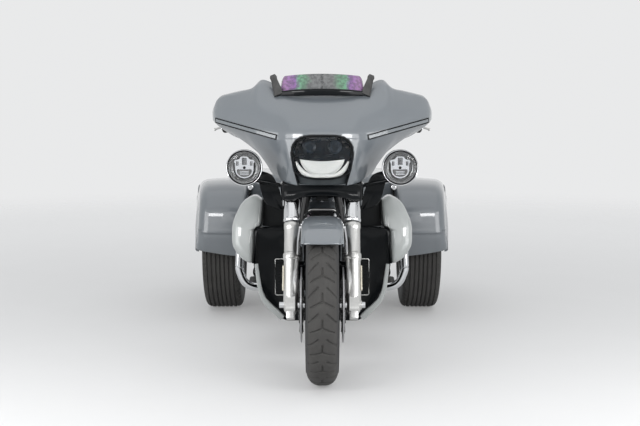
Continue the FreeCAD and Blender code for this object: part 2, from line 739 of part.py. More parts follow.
def tank_and_seats():
    tunnel = tube(backbone_path, 29, 60)
    rails = []
    for side in (1, -1):
        rails.append(tube([(side * x, y, z) for x, y, z in rail_half], dim("tube_radius") + 3, 45))
    tank = loft([rounded_section(*row) for row in tank_stations]).cut(tunnel)
    keep("fuel_tank", feature("tank", tank))
    rider = loft([rounded_section(*row) for row in rider_stations]).cut(tunnel).cut(rails[0]).cut(rails[1])
    keep("rider_seat", feature("seat_front", max(rider.Solids, key=lambda s: s.Volume)))
    passenger = loft([rounded_section(*row) for row in passenger_stations]).cut(trunk_block())
    passenger = passenger.cut(rails[0]).cut(rails[1])
    keep("passenger_seat", feature("seat_rear", passenger))

    def cover(side):
        outline = [(76, 474, 24), (250, 440, 40), (330, 520, 40), (340, 640, 10), (96, 636, 20)]
        plate = slab(outline, "YZ", 150, 168)
        return plate if side > 0 else mirrored(plate)

    keep("side_covers", pair("covers_side", cover))


def exhaust(frame_solid):
    across, height = dim("muffler_half_spacing"), dim("muffler_height")

    # front header down the right side, rear header into it, and the crossover to the left muffler
    front = [(-70, -372, 604), (-150, -438, 590), (-178, -470, 470), (-176, -430, 250), (-188, -200, 232),
             (-215, 60, 232), (-across, 196, height), (-across, 262, height)]
    rear = [(-70, -30, 604), (-150, 36, 590), (-186, 60, 420), (-200, 40, 300), (-206, 20, 236)]
    crossover = [(-206, 20, 226), (-128, 60, 136), (128, 60, 136), (250, 130, 190),
                 (across, 200, height), (across, 262, height)]
    runs = [tube(path, 21, 40) for path in (front, rear, crossover)]
    pipes = runs[0].multiFuse(runs[1:])

    def can(side):
        start = Vector(side * across, 262, height)
        nose = Part.makeCone(24, dim("muffler_radius"), 110, start, Vector(0, 1, 0))
        barrel = Part.makeCylinder(dim("muffler_radius"), 860, start + Vector(0, 110, 0), Vector(0, 1, 0))
        tip = Part.makeCone(dim("muffler_radius"), 38, 60, start + Vector(0, 970, 0), Vector(0, 1, 0))
        hole = Part.makeCylinder(31, 90, start + Vector(0, 945, 0), Vector(0, 1, 0))
        return nose.fuse([barrel, tip]).cut(hole)

    cans = [can(1), can(-1)]
    keep("exhaust_pipes", feature("headers", pipes.cut(Part.Compound(cans)).cut(frame_solid)))
    keep("mufflers", feature("cans", Part.Compound(cans)))


def foot_rests():
    def board(side):
        rider = slab([(206, -410, 40), (340, -404, 50), (346, -110, 50), (206, -100, 20)], "XY", 276, 292)
        return rider if side > 0 else mirrored(rider)

    def rear_board(side):
        outline = [(214, 60, 24), (322, 64, 40), (322, 236, 40), (214, 240, 24)]
        board_solid = slab(outline, "XY", 340, 354)
        arm = Part.makeCylinder(9, 66, Vector(150, 166, 334), Vector(66, 0, 10))
        solid = board_solid.fuse(arm)
        return solid if side > 0 else mirrored(solid)

    boards = [made(side) for made in (board, rear_board) for side in (1, -1)]
    keep("floorboards", feature("boards", Part.Compound(boards)))
    pedal = tube([(-204, -330, 306), (-240, -400, 312), (-252, -452, 352)], 8, 20)
    pad = slab([(-276, -462, 6), (-226, -462, 6), (-226, -438, 6), (-276, -438, 6)], "XY", 350, 362)
    lever = tube([(204, -300, 310), (244, -400, 316), (258, -446, 350)], 7, 20)
    peg = Part.makeCylinder(11, 44, Vector(240, -446, 352), Vector(1, 0, 0))
    keep("foot_controls", feature("controls_foot", Part.Compound([pedal.fuse(pad), lever.fuse(peg)])))


def trunk_block(shrink=0.0):
    """The trunk tub as a solid block, or the room inside it when shrunk by the wall."""
    half, floor = dim("trunk_half_width") - shrink, dim("trunk_floor") + shrink
    back = 1332 if shrink else 1312
    outline = [(520 + shrink, floor, 30 - shrink), (back, floor), (back, 724 - shrink),
               (1180, 738 - shrink, 60), (520 + shrink, 738 - shrink, 20 - shrink)]
    return slab(outline, "YZ", -half, half)


fender_profile = [(220, 332, 8), (206, 440, 40), (206, 540, 120), (300, 684, 120), (654, 718, 500),
                  (980, 696, 300), (1236, 626, 90), (1272, 470, 60), (1236, 396, 20), (1010, 396)]
fender_inner = 390


def rear_body():
    half_width, well, arch = dim("half_width"), dim("well_radius"), dim("arch_radius")
    axle = Vector(0, rear_axle_y, dim("rear_radius"))
    inner_face, outer_wall = fender_inner + 10, half_width - 12
    profile = fender_profile + [(960, 320, 0), (340, 320, 0)]
    block = slab(profile, "YZ", fender_inner, half_width)
    waist = slab([(642, 200), (653, 300), (678, 500), (half_width, 720),
                  (half_width + 20, 720), (half_width + 20, 200)], "XY", 0, 1000)
    block = block.cut(waist)
    across = slab([(fender_inner, 300), (half_width, 300),
                   (half_width - 14, 719, 56), (fender_inner, 719, 20)], "XZ", 200, 1280)
    block = block.common(across)

    def well_tool(low, high, radius):
        round_part = Part.makeCylinder(radius, high - low, Vector(low, axle.y, axle.z), Vector(1, 0, 0))
        under = Part.makeBox(high - low, 2 * radius, 200, Vector(low, axle.y - radius, axle.z - 200))
        return round_part.fuse(under)

    block = block.cut(well_tool(inner_face, outer_wall, well))
    block = block.cut(well_tool(outer_wall - 1, half_width + 2, arch))
    block = block.cut(Part.makeCylinder(70, 60, Vector(fender_inner - 20, axle.y, axle.z), Vector(1, 0, 0)))
    block = block.cut(Part.makeBox(60, 140, 100, Vector(fender_inner - 20, axle.y - 70, axle.z - 100)))
    for name, side in sides:
        keep(name + "_rear_fender", feature(name + "_fender", block if side > 0 else mirrored(block)))

    half = dim("trunk_half_width")
    tub = trunk_block().cut(trunk_block(dim("wall")))
    for x in (-150, 150):
        for y in (840, 1080):
            tub = tub.cut(Part.makeCylinder(4.2, 40, Vector(x, y, 715), Vector(0, 0, 1)))
    keep("trunk_tub", feature("tub", tub))
    door = slab([(-half + 4, 452, 20), (half - 4, 452, 20), (half - 20, 718, 40), (-half + 20, 718, 40)],
                "XZ", 1313, 1331)
    plate = slab([(-94, 500, 8), (94, 500, 8), (94, 612, 8), (-94, 612, 8)], "XZ", 1331, 1335)
    door = door.fuse(plate)
    for x in (-73, 73):
        for z in (521, 591):
            door = door.cut(Part.makeCylinder(3.5, 40, Vector(x, 1305, z), Vector(0, 1, 0)))
    keep("trunk_door", feature("door", door))
    bumper = slab([(-420, 368, 20), (420, 368, 20), (460, 424, 12), (-460, 424, 12)], "XZ", 1274, 1330)
    keep("rear_bumper", feature("bumper", bumper))

    def lamp(side):
        outline = [(430, 520, 14), (620, 520, 14), (610, 580, 14), (430, 590, 14)]
        solid = slab(outline, "XZ", 1262, 1290).cut(block)
        solid = max(solid.Solids, key=lambda s: s.CenterOfMass.y)
        return solid if side > 0 else mirrored(solid)

    keep("tail_lamps", pair("lamps_tail", lamp))


def rear_drive():
    y, z = rear_axle_y, dim("rear_radius")
    outer = dim("rear_track_half") - 15
    housing = Part.makeCylinder(dim("housing_radius"), 2 * outer, Vector(-outer, y, z), Vector(1, 0, 0))
    carriers = [Part.makeCylinder(58, 34, Vector(x, y, z), Vector(1, 0, 0)) for x in (outer - 34, -outer)]
    gears = Part.makeCylinder(92, 110, Vector(-70, y, z), Vector(1, 0, 0))
    gears = gears.fuse(Part.makeCone(92, 50, 50, Vector(-70, y, z), Vector(-1, 0, 0)))
    pulley = Part.makeCylinder(86, 30, Vector(60, y, z), Vector(1, 0, 0))
    keep("rear_axle_housing", feature("housing", housing.multiFuse(carriers + [gears, pulley])))

    front = Vector(75, 110, 334)
    back = Vector(75, y, z)

    def loop(extra, width, start):
        a = Part.makeCylinder(48 + extra, width, Vector(start, front.y, front.z), Vector(1, 0, 0))
        b = Part.makeCylinder(86.5 + extra, width, Vector(start, back.y, back.z), Vector(1, 0, 0))
        slope = slab([(front.y, front.z - 48 - extra), (back.y, back.z - 86.5 - extra),
                      (back.y, back.z + 86.5 + extra), (front.y, front.z + 48 + extra)],
                     "YZ", start, start + width)
        return a.fuse([b, slope])

    keep("drive_belt", feature("belt", loop(8, 26, 62).cut(loop(0, 30, 60))))


def suspension(frame_solid):
    y, z = rear_axle_y, dim("rear_radius")

    def arm(side):
        solid = slab([(196, 326, 16), (200, 372, 16), (470, 392, 20), (y + 30, z + 62, 16),
                      (y + 56, z, 30), (y + 20, z - 54, 20), (y - 60, z - 30, 20), (380, 318, 20)],
                     "YZ", 164, 196)
        pivot = Part.makeCylinder(20, 42, Vector(152, 222, 348), Vector(1, 0, 0))
        hub = Part.makeCylinder(dim("housing_radius"), 60, Vector(150, y, z), Vector(1, 0, 0))
        solid = solid.fuse(pivot).cut(hub).cut(frame_solid)
        return solid if side > 0 else mirrored(solid)

    def shock(side):
        foot, head = Vector(side * 180, 440, 390), Vector(side * 150, 400, 632)
        axis = (head - foot).normalize()
        rod = Part.makeCylinder(10, (head - foot).Length, foot, axis)
        return rod.fuse(Part.makeCylinder(30, 150, foot + axis * 50, axis)).cut(frame_solid)

    parts = []
    for side in (1, -1):
        swing = arm(side)
        parts += [swing, shock(side).cut(swing)]
    keep("rear_suspension", feature("suspension_rear", Part.Compound(parts)))


def checked(objects):
    """Recomputes and reports any object that failed."""
    doc.recompute()
    for thing in doc.Objects:
        bad = [state for state in thing.State if state in ("Invalid", "Error")]
        if bad:
            raise RuntimeError("%s failed: %s" % (thing.Label, thing.State))
    for label, thing in objects.items():
        if thing.Shape.isNull() or not thing.Shape.isValid():
            raise RuntimeError("%s has no valid shape" % label)


front_wheel()
for name, side in sides:
    rear_wheel(name, side)
clamps = fork()
calipers()
front_fender()
outer_block = fairing(clamps)
headlight()
passing_lamps(clamps)
windshield()
handlebar(clamps)
steered_trim(outer_block, clamps)
frame_solid = frame()
engine()
radiator_and_lowers(frame_solid)
tank_and_seats()
exhaust(frame_solid)
foot_rests()
rear_body()
rear_drive()
suspension(frame_solid)
checked(nodes)
os.makedirs("parts", exist_ok=True)
for label, thing in nodes.items():
    thing.Shape.exportStep(os.path.join("parts", label + ".step"))
    print(label, len(thing.Shape.Solids), round(thing.Shape.Volume / 1e6, 3))
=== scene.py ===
import json
import math

import bmesh
import bpy
import numpy as np
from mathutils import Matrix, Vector

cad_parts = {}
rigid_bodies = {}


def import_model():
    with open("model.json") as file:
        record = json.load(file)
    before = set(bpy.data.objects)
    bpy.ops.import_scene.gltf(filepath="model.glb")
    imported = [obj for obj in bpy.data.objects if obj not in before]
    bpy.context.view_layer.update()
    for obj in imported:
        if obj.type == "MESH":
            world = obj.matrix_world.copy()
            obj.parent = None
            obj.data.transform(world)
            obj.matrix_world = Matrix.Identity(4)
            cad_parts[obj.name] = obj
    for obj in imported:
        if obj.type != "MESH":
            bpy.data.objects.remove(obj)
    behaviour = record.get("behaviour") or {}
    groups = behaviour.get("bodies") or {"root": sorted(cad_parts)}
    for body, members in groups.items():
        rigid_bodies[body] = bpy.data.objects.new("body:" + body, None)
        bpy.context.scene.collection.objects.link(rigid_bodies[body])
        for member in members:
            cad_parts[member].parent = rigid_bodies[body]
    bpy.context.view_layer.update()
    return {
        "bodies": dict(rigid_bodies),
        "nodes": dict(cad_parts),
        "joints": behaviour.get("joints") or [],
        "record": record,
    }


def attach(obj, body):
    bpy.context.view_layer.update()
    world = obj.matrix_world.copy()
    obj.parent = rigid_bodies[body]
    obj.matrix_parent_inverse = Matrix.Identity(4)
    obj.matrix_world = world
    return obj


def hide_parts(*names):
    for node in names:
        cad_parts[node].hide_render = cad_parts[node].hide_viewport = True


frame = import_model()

# Metres, Z up.  The front faces -Y and +X is the rider's left.
frontAxle = np.array((0.0, -1.016, 0.319))
rearAxle = np.array((0.0, 0.654, 0.325))
rakeDegrees = 26
rake = math.radians(rakeDegrees)
steerUp = np.array((0.0, math.sin(rake), math.cos(rake)))
steerAhead = np.array((0.0, -math.cos(rake), math.sin(rake)))
steerFoot = np.array((0.0, frontAxle[1] + 0.05 / math.cos(rake), frontAxle[2]))
across = np.array((1.0, 0.0, 0.0))


def onSteering(along, ahead=0.0, side=0.0):
    # a point a distance up the steering axis, ahead of it and to its side
    return steerFoot + steerUp * along + steerAhead * ahead + across * side


# shapes: every one is (points, quads), worked out as whole arrays

def quadsOf(nu, nv, closeU=False, closeV=False):
    # grid neighbours, the last row or column joining the first where that way is closed
    u = np.arange(nu if closeU else nu - 1)
    v = np.arange(nv if closeV else nv - 1)
    a, b = np.meshgrid(u, v, indexing="ij")
    c, d = (a + 1) % nu, (b + 1) % nv
    return np.stack((a * nv + b, c * nv + b, c * nv + d, a * nv + d), axis=-1).reshape(-1, 4)


def grid(points, closeU=False, closeV=False):
    # rows and columns of points as one shape
    nu, nv = points.shape[:2]
    return points.reshape(-1, 3), quadsOf(nu, nv, closeU, closeV)


def gather(*shapes):
    # several shapes as one, each one's quads counted on from the points before it
    points, quads = zip(*shapes)
    starts = np.cumsum([0] + [len(part) for part in points[:-1]])
    return np.concatenate(points), np.concatenate([part + start for part, start in zip(quads, starts)])


def mirrorX(shape):
    # the same shape on the other side, its quads turned to face out
    points, quads = shape
    return points * (-1, 1, 1), quads[:, ::-1]


def bothSides(shape):
    # a shape on the left with its mirror image
    return gather(shape, mirrorX(shape))


def onSide(side, shape):
    # a shape made for the left, or its mirror image for the right
    return shape if side > 0 else mirrorX(shape)


def turnedBy(points, angle, axis=(1, 0, 0), centre=(0, 0, 0)):
    # Rodrigues: p cos a + (k x p) sin a + k (k.p)(1 - cos a), about an axis through a centre
    k = np.asarray(axis, float) / np.linalg.norm(axis)
    p = points - centre
    a = np.asarray(angle, float)[..., None]
    return p * np.cos(a) + np.cross(k, p) * np.sin(a) + k * (p @ k)[..., None] * (1 - np.cos(a)) + centre


def curve(knots, count, closed=False):
    # Catmull-Rom through the knots, evenly spaced in knot number
    k = np.asarray(knots, float)
    n = len(k)
    t = np.linspace(0, n if closed else n - 1, count, endpoint=not closed)
    i = np.minimum(t.astype(int), (n if closed else n - 1) - 1)
    f = (t - i)[:, None]
    if closed:
        p0, p1, p2, p3 = k[(i - 1) % n], k[i % n], k[(i + 1) % n], k[(i + 2) % n]
    else:
        padded = np.concatenate((2 * k[:1] - k[1:2], k, 2 * k[-1:] - k[-2:-1]))
        p0, p1, p2, p3 = padded[i], padded[i + 1], padded[i + 2], padded[i + 3]
    return 0.5 * (2 * p1 + (p2 - p0) * f + (2 * p0 - 5 * p1 + 4 * p2 - p3) * f ** 2
                  + (3 * p1 - p0 - 3 * p2 + p3) * f ** 3)


def evenly(line, count):
    # the same line with its points an equal distance apart
    length = np.concatenate(([0], np.cumsum(np.linalg.norm(np.diff(line, axis=0), axis=1))))
    at = np.linspace(0, length[-1], count)
    return np.stack([np.interp(at, length, line[:, i]) for i in range(line.shape[1])], axis=1)


def blendRows(at, rows, where):
    # a table's rows (one per station) read between stations, a smooth cubic through each column
    at, rows = np.asarray(at, float), np.asarray(rows, float)
    slope = np.gradient(rows, at, axis=0)
    i = np.clip(np.searchsorted(at, where, side="right") - 1, 0, len(at) - 2)
    gap = (at[i + 1] - at[i])
    f = ((where - at[i]) / gap)[:, None]
    gap = gap[:, None]
    return ((2 * f ** 3 - 3 * f ** 2 + 1) * rows[i] + (f ** 3 - 2 * f ** 2 + f) * gap * slope[i]
            + (3 * f ** 2 - 2 * f ** 3) * rows[i + 1] + (f ** 3 - f ** 2) * gap * slope[i + 1])


def roundBox(halfU, halfV, radius, perCorner=6):
    # a rounded rectangle: four quarter circles on the corners of a smaller rectangle
    r = min(radius, halfU, halfV)
    a = np.linspace(0, math.pi / 2, perCorner)
    quarter = np.stack((np.cos(a), np.sin(a)), axis=1) * r
    turns = [np.array(((c, -s), (s, c))) for c, s in ((1, 0), (0, 1), (-1, 0), (0, -1))]
    corners = np.array(((1, 1), (-1, 1), (-1, -1), (1, -1))) * (halfU - r, halfV - r)
    return np.concatenate([quarter @ turn.T + corner for turn, corner in zip(turns, corners)])


def ring(radius, count=24):
    # points spaced evenly round a circle
    a = np.linspace(0, 2 * math.pi, count, endpoint=False)
    return np.stack((np.cos(a), np.sin(a)), axis=1) * radius


def swept(path, outline, scale=None, up=(0, 0, 1), ends=True):
    # an outline of (side, up) carried along a path, square to it; the ends close on their middles
    path = np.asarray(path, float)
    ahead = np.gradient(path, axis=0)
    ahead /= np.linalg.norm(ahead, axis=1, keepdims=True)
    side = np.cross(ahead, up)
    side /= np.linalg.norm(side, axis=1, keepdims=True)
    over = np.cross(side, ahead)
    size = np.ones(len(path)) if scale is None else np.asarray(scale, float)
    flat = np.asarray(outline, float)[None] * size[:, None, None]
    points = path[:, None] + side[:, None] * flat[..., :1] + over[:, None] * flat[..., 1:]
    if ends:
        first = np.broadcast_to(path[0], points[:1].shape)
        last = np.broadcast_to(path[-1], points[:1].shape)
        points = np.concatenate((first, points, last))
    return grid(points, closeV=True)


def bentTube(knots, radius, bend, count=18, up=(0, 0, 1)):
    # straight runs carried as a round tube, each corner a parabola between the points where an arc of
    # the bend's radius would start and stop
    p = np.asarray(knots, float)
    before, here, after = p[:-2], p[1:-1], p[2:]
    back = before - here
    on = after - here
    back /= np.linalg.norm(back, axis=1, keepdims=True)
    on /= np.linalg.norm(on, axis=1, keepdims=True)
    half = np.arccos(np.clip((back * on).sum(1), -1, 1)) / 2
    reach = (bend / np.tan(half))[:, None, None]
    t = np.linspace(0, 1, 9)[None, :, None]
    start, stop = here[:, None] + back[:, None] * reach, here[:, None] + on[:, None] * reach
    arcs = (1 - t) ** 2 * start + 2 * t * (1 - t) * here[:, None] + t ** 2 * stop
    line = np.concatenate((p[:1], arcs.reshape(-1, 3), p[-1:]))
    return swept(line, ring(radius, count), up=up)


def lathed(profile, centre, axis="X", count=64):
    # a profile of (along, out) turned about an axis through a centre
    profile = np.asarray(profile, float)
    a = np.linspace(0, 2 * math.pi, count, endpoint=False)[:, None]
    along = np.broadcast_to(profile[None, :, 0], (count, len(profile)))
    out = profile[None, :, 1]
    one, two = out * np.cos(a), out * np.sin(a)
    order = {"X": (along, one, two), "Y": (two, along, one), "Z": (one, two, along)}[axis]
    return grid(np.stack(order, axis=-1) + np.asarray(centre, float), closeU=True)


def rounded(profile, radius, steps=4):
    # an open line whose inner corners are cut to parabolas between two points near each corner
    p = np.asarray(profile, float)
    inner = p[1:-1]
    back, on = p[:-2] - inner, p[2:] - inner
    lengthBack, lengthOn = np.linalg.norm(back, axis=1), np.linalg.norm(on, axis=1)
    cut = np.minimum(radius, 0.45 * np.minimum(lengthBack, lengthOn))[:, None]
    start, stop = inner + back / lengthBack[:, None] * cut, inner + on / lengthOn[:, None] * cut
    t = np.linspace(0, 1, steps)[None, :, None]
    arcs = (1 - t) ** 2 * start[:, None] + 2 * t * (1 - t) * inner[:, None] + t ** 2 * stop[:, None]
    return np.concatenate((p[:1], arcs.reshape(-1, p.shape[1]), p[-1:]))


def plate(outline, low, high, plane="XZ", edge=0.0015):
    # an outline carried between two levels, its rims rounded and its faces closed on their middles
    flat = np.asarray(outline, float)
    middle = flat.mean(axis=0)
    inward = middle - flat
    inward /= np.maximum(np.linalg.norm(inward, axis=1, keepdims=True), 1e-9)
    levels = ((low, None), (low, edge), (low + edge, 0.0), (high - edge, 0.0), (high, edge), (high, None))
    rows = []
    for level, pull in levels:
        row = np.broadcast_to(middle, flat.shape) if pull is None else flat + inward * pull
        rows.append(np.column_stack((row, np.full(len(flat), level))))
    points = np.stack(rows)
    order = {"XZ": (0, 2, 1), "XY": (0, 1, 2), "YZ": (2, 0, 1)}[plane]
    return grid(points[..., order], closeV=True)


def stacked(outline, rows, centre, plane="YZ"):
    # an outline (or one for each row) shrunk towards a centre by each row's share and set at its level,
    # along the axis square to the plane
    shares, levels = np.array(rows, float).T[..., None, None]
    flat = centre + (outline - np.asarray(centre)) * shares
    stack = np.concatenate((flat, np.broadcast_to(levels, flat[..., :1].shape)), axis=-1)
    order = {"XZ": (0, 2, 1), "XY": (0, 1, 2), "YZ": (2, 0, 1)}[plane]
    return grid(stack[..., order], closeV=True)


def moved(shape, offset):
    points, quads = shape
    return points + np.asarray(offset, float), quads


def turnedShape(shape, degrees, axis=(1, 0, 0)):
    points, quads = shape
    return turnedBy(points, math.radians(degrees), axis), quads


def repeated(many, quads):
    # stacked copies of one shape's points, with its quads counted on for each
    step = np.arange(len(many))[:, None, None] * many.shape[1]
    return many.reshape(-1, 3), (quads + step).reshape(-1, 4)


def copiesAround(shape, angles, axis=(1, 0, 0), centre=(0, 0, 0)):
    # one shape at each of a list of angles, or at a number of even steps
    points, quads = shape
    if isinstance(angles, int):
        angles = np.arange(angles) * 2 * math.pi / angles
    return repeated(turnedBy(points[None], np.asarray(angles)[:, None], axis, np.asarray(centre, float)), quads)


def copiesAt(shape, offsets):
    # one shape at each of a list of offsets
    points, quads = shape
    return repeated(points + np.asarray(offsets, float)[:, None], quads)


def piece(name, shape, material, body="chassis", replaces=(), thick=0.0, sheet=False, sharp=40):
    # a mesh with merged points and faces turned out, its finish, wall, body, slot and the nodes it hides;
    # a sheet keeps its faces as they are
    points, quads = shape
    mesh = bpy.data.meshes.new(name)
    mesh.from_pydata(points.tolist(), [], quads.tolist())
    work = bmesh.new()
    work.from_mesh(mesh)
    bmesh.ops.remove_doubles(work, verts=work.verts, dist=2e-6)
    bmesh.ops.dissolve_degenerate(work, edges=work.edges, dist=1e-7)
    if not sheet:
        bmesh.ops.recalc_face_normals(work, faces=work.faces)
    work.to_mesh(mesh)
    work.free()
    made = bpy.data.objects.new(name, mesh)
    bpy.context.collection.objects.link(made)
    mesh.materials.append(material)
    mesh.shade_smooth()
    mesh.set_sharp_from_angle(angle=math.radians(sharp))
    if thick:
        wall = made.modifiers.new("wall", "SOLIDIFY")
        wall.thickness, wall.offset = thick, -1
    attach(made, body)
    if replaces:
        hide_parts(*replaces)
    return made


# finishes

class Wire:
    # a socket that takes part in sums: each operator adds its Math node
    def __init__(self, finish, socket):
        self.finish, self.socket = finish, socket

    def maths(self, operation, *values):
        return self.finish.node("Math", {"operation": operation}, dict(enumerate(values)))

    def __add__(self, other): return self.maths("ADD", self, other)
    def __radd__(self, other): return self.maths("ADD", other, self)
    def __sub__(self, other): return self.maths("SUBTRACT", self, other)
    def __rsub__(self, other): return self.maths("SUBTRACT", other, self)
    def __mul__(self, other): return self.maths("MULTIPLY", self, other)
    def __rmul__(self, other): return self.maths("MULTIPLY", other, self)
    def __truediv__(self, other): return self.maths("DIVIDE", self, other)
    def __pow__(self, other): return self.maths("POWER", self, other)
    def __abs__(self): return self.maths("ABSOLUTE", self)

    def least(self, other): return self.maths("MINIMUM", self, other)
    def most(self, other): return self.maths("MAXIMUM", self, other)
    def sine(self): return self.maths("SINE", self)

    def rise(self, low, high, start=0.0, stop=1.0):
        # from start to stop, smoothly, as the value goes from low to high
        settings = {"interpolation_type": "SMOOTHSTEP"}
        return self.finish.node("MapRange", settings, {0: self, 1: low, 2: high, 3: start, 4: stop})


class Finish:
    def __init__(self, name):
        self.material = bpy.data.materials.new(name)
        self.material.use_nodes = True
        self.tree = self.material.node_tree
        self.tree.nodes.clear()

    def node(self, kind, settings=None, inputs=None, out=0):
        made = self.tree.nodes.new("ShaderNode" + kind)
        for key, value in (settings or {}).items():
            if key == "stops":
                for extra in value[2:]:
                    made.color_ramp.elements.new(0.5)
                for element, (at, colour) in zip(made.color_ramp.elements, value):
                    element.position, element.color = at, (*colour, 1)
            else:
                setattr(made, key, value)
        for key, value in (inputs or {}).items():
            if isinstance(value, Wire):
                self.tree.links.new(value.socket, made.inputs[key])
            else:
                made.inputs[key].default_value = value
        return Wire(self, made.outputs[out]) if made.outputs else made

    def place(self, offset=(0, 0, 0), scale=(1, 1, 1)):
        # object coordinates, moved so that offset is the middle
        here = self.node("TexCoord", out=3)
        inputs = {0: here, 1: tuple(-o * s for o, s in zip(offset, scale)), 3: tuple(scale)}
        return self.node("Mapping", None, inputs)

    def split(self, vector):
        made = self.node("SeparateXYZ", None, {0: vector})
        return [Wire(self, socket) for socket in made.socket.node.outputs]

    def noise(self, scale, where=None, detail=3.0, rough=0.5):
        where = where or self.place()
        return self.node("TexNoise", None, {"Vector": where, "Scale": scale, "Detail": detail, "Roughness": rough})

    def cells(self, scale, where=None, feature="F1"):
        where = where or self.place()
        return self.node("TexVoronoi", {"feature": feature}, {"Vector": where, "Scale": scale})

    def mixed(self, factor, first, second):
        settings = {"data_type": "RGBA"}
        first, second = [c if isinstance(c, Wire) else (*c, 1) for c in (first, second)]
        return self.node("Mix", settings, {0: factor, 6: first, 7: second}, out=2)

    def bump(self, height, strength, distance):
        return self.node("Bump", None, {"Strength": strength, "Distance": distance, "Height": height})

    def shader(self, colour, roughness, metallic=0.0, **more):
        # more holds the shader's other sockets, such as Coat_Weight
        inputs = {"Base Color": colour if isinstance(colour, Wire) else (*colour, 1), "Roughness": roughness,
                  "Metallic": metallic}
        inputs.update({key.replace("_", " "): value for key, value in more.items()})
        made = self.node("BsdfPrincipled", None, inputs)
        self.node("OutputMaterial", None, {"Surface": made})
        return self.material


paintColour = {"slate": (0.146, 0.163, 0.178), "deep": (0.128, 0.143, 0.157)}
# painted light: a lighter copy of the slate paint for the lower fairings and their hems, standing in for the strong
# side light on them
litCopyColour = {"slate": (0.345, 0.363, 0.357), "deep": (0.313, 0.330, 0.325)}


def bodyPaint(name, shades):
    # paint mottled by a slow haze and fine flake, under a clear coat with a slight orange peel
    f = Finish(name)
    flake = f.cells(5200)
    haze = f.noise(2.2, detail=2.0)
    tone = (haze.rise(0.3, 0.7) * 0.5 + flake * 0.25).least(1.0)
    colour = f.mixed(tone, shades["deep"], shades["slate"])
    peel = f.noise(170, detail=1.0)
    rough = 0.30 + f.noise(9, detail=4.0) * 0.10
    return f.shader(colour, rough, Coat_Weight=1.0, Coat_Roughness=0.05, Coat_IOR=1.5,
                    Normal=f.bump(peel, 0.05, 0.0006))


def mouldedBlack(name, shade):
    # pebbled plastic; its shade makes the charcoal parts lighter
    f = Finish(name)
    pebble = f.cells(1500)
    wide = f.noise(30, detail=3.0)
    dark, light = np.array(((0.003, 0.0036, 0.004), (0.008, 0.009, 0.0095))) * shade
    colour = f.mixed(wide, dark, light)
    return f.shader(colour, 0.42 + wide * 0.16, Specular_IOR_Level=0.13, Normal=f.bump(pebble, 0.35, 0.00035))


def glossBlack():
    # smooth black with faint smears under a thin coat
    f = Finish("glossBlack")
    smear = f.noise(14, detail=5.0)
    colour = f.mixed(smear, (0.0025, 0.0032, 0.0038), (0.006, 0.007, 0.008))
    return f.shader(colour, 0.10 + smear * 0.10, Specular_IOR_Level=0.09, Coat_Weight=0.14, Coat_Roughness=0.03,
                    Normal=f.bump(f.noise(120, detail=1.0), 0.03, 0.0006))


def darkMetal(name, dark, light):
    # smoked plating with a faint lengthwise grain
    f = Finish(name)
    grain = f.noise(90, f.place(scale=(1, 1, 0.2)), detail=4.0)
    colour = f.mixed(grain, (dark, dark, dark), (light, light, light * 0.99))
    return f.shader(colour, 0.28 + grain * 0.14, 1.0, Normal=f.bump(grain, 0.08, 0.0003))


def brightChrome():
    # plating whose smears blur the reflection in places
    f = Finish("brightChrome")
    smear = f.noise(22, detail=5.0)
    colour = f.mixed(smear, (0.54, 0.55, 0.565), (0.66, 0.67, 0.68))
    return f.shader(colour, 0.05 + smear.rise(0.45, 0.75) * 0.10, 1.0)


def nightBlue():
    # the blue-black inside of a lamp
    f = Finish("nightBlue")
    haze = f.noise(30, detail=3.0)
    colour = f.mixed(haze, (0.005, 0.009, 0.014), (0.011, 0.018, 0.026))
    return f.shader(colour, 0.22 + haze * 0.1, Specular_IOR_Level=0.2)


def satinAluminium():
    # fine drawn lines that run front to back
    f = Finish("satinAluminium")
    draw = f.noise(160, f.place(scale=(1, 0.08, 1)), detail=4.0)
    colour = f.mixed(draw, (0.50, 0.50, 0.49), (0.64, 0.64, 0.625))
    return f.shader(colour, 0.24 + draw * 0.14, 1.0, Normal=f.bump(draw, 0.10, 0.0003))


def discSteel():
    # turned grooves: a noise read by distance from the axle, crossed by a slow blue haze
    f = Finish("discSteel")
    side, y, z = f.split(f.place(frontAxle))
    out = (y * y + z * z) ** 0.5
    grooves = f.noise(1.0, f.node("CombineXYZ", None, {0: out * 1400, 1: 0.0, 2: side * 40}), detail=2.0)
    blue = f.noise(18, detail=3.0)
    colour = f.mixed(grooves * 0.6 + blue * 0.4, (0.33, 0.335, 0.35), (0.62, 0.62, 0.63))
    return f.shader(colour, 0.22 + grooves * 0.22, 1.0, Normal=f.bump(grooves, 0.22, 0.0003))


def wheelBlack():
    # coated black with pale brake dust where a noise runs high
    f = Finish("wheelBlack")
    dust = f.noise(26, detail=6.0)
    colour = f.mixed(dust.rise(0.45, 0.8), (0.010, 0.010, 0.011), (0.045, 0.043, 0.040))
    return f.shader(colour, 0.20 + dust.rise(0.4, 0.8) * 0.3, Coat_Weight=0.6, Coat_Roughness=0.08,
                    Normal=f.bump(f.noise(300), 0.04, 0.0004))


def tyreRubber(name, centre, sidewall):
    # darker wet-looking flank, drier greyer tread, with fine moulded rings on the flank
    f = Finish(name)
    y, z = f.split(f.place(centre))[1:]
    out = (y * y + z * z) ** 0.5
    flank = 1 - out.rise(sidewall - 0.006, sidewall + 0.006)
    rings = (out * 1900).sine() * flank
    grain = f.noise(900, detail=4.0, rough=0.7)
    dust = f.noise(16, detail=6.0, rough=0.65)
    tread = f.mixed(dust, (0.030, 0.029, 0.028), (0.062, 0.060, 0.057))
    colour = f.mixed(flank, tread, (0.014, 0.014, 0.0145))
    rough = 0.82 - flank * 0.24 + grain * 0.10
    return f.shader(colour, rough, Normal=f.bump(grain + rings * 0.5, 0.35, 0.0005))


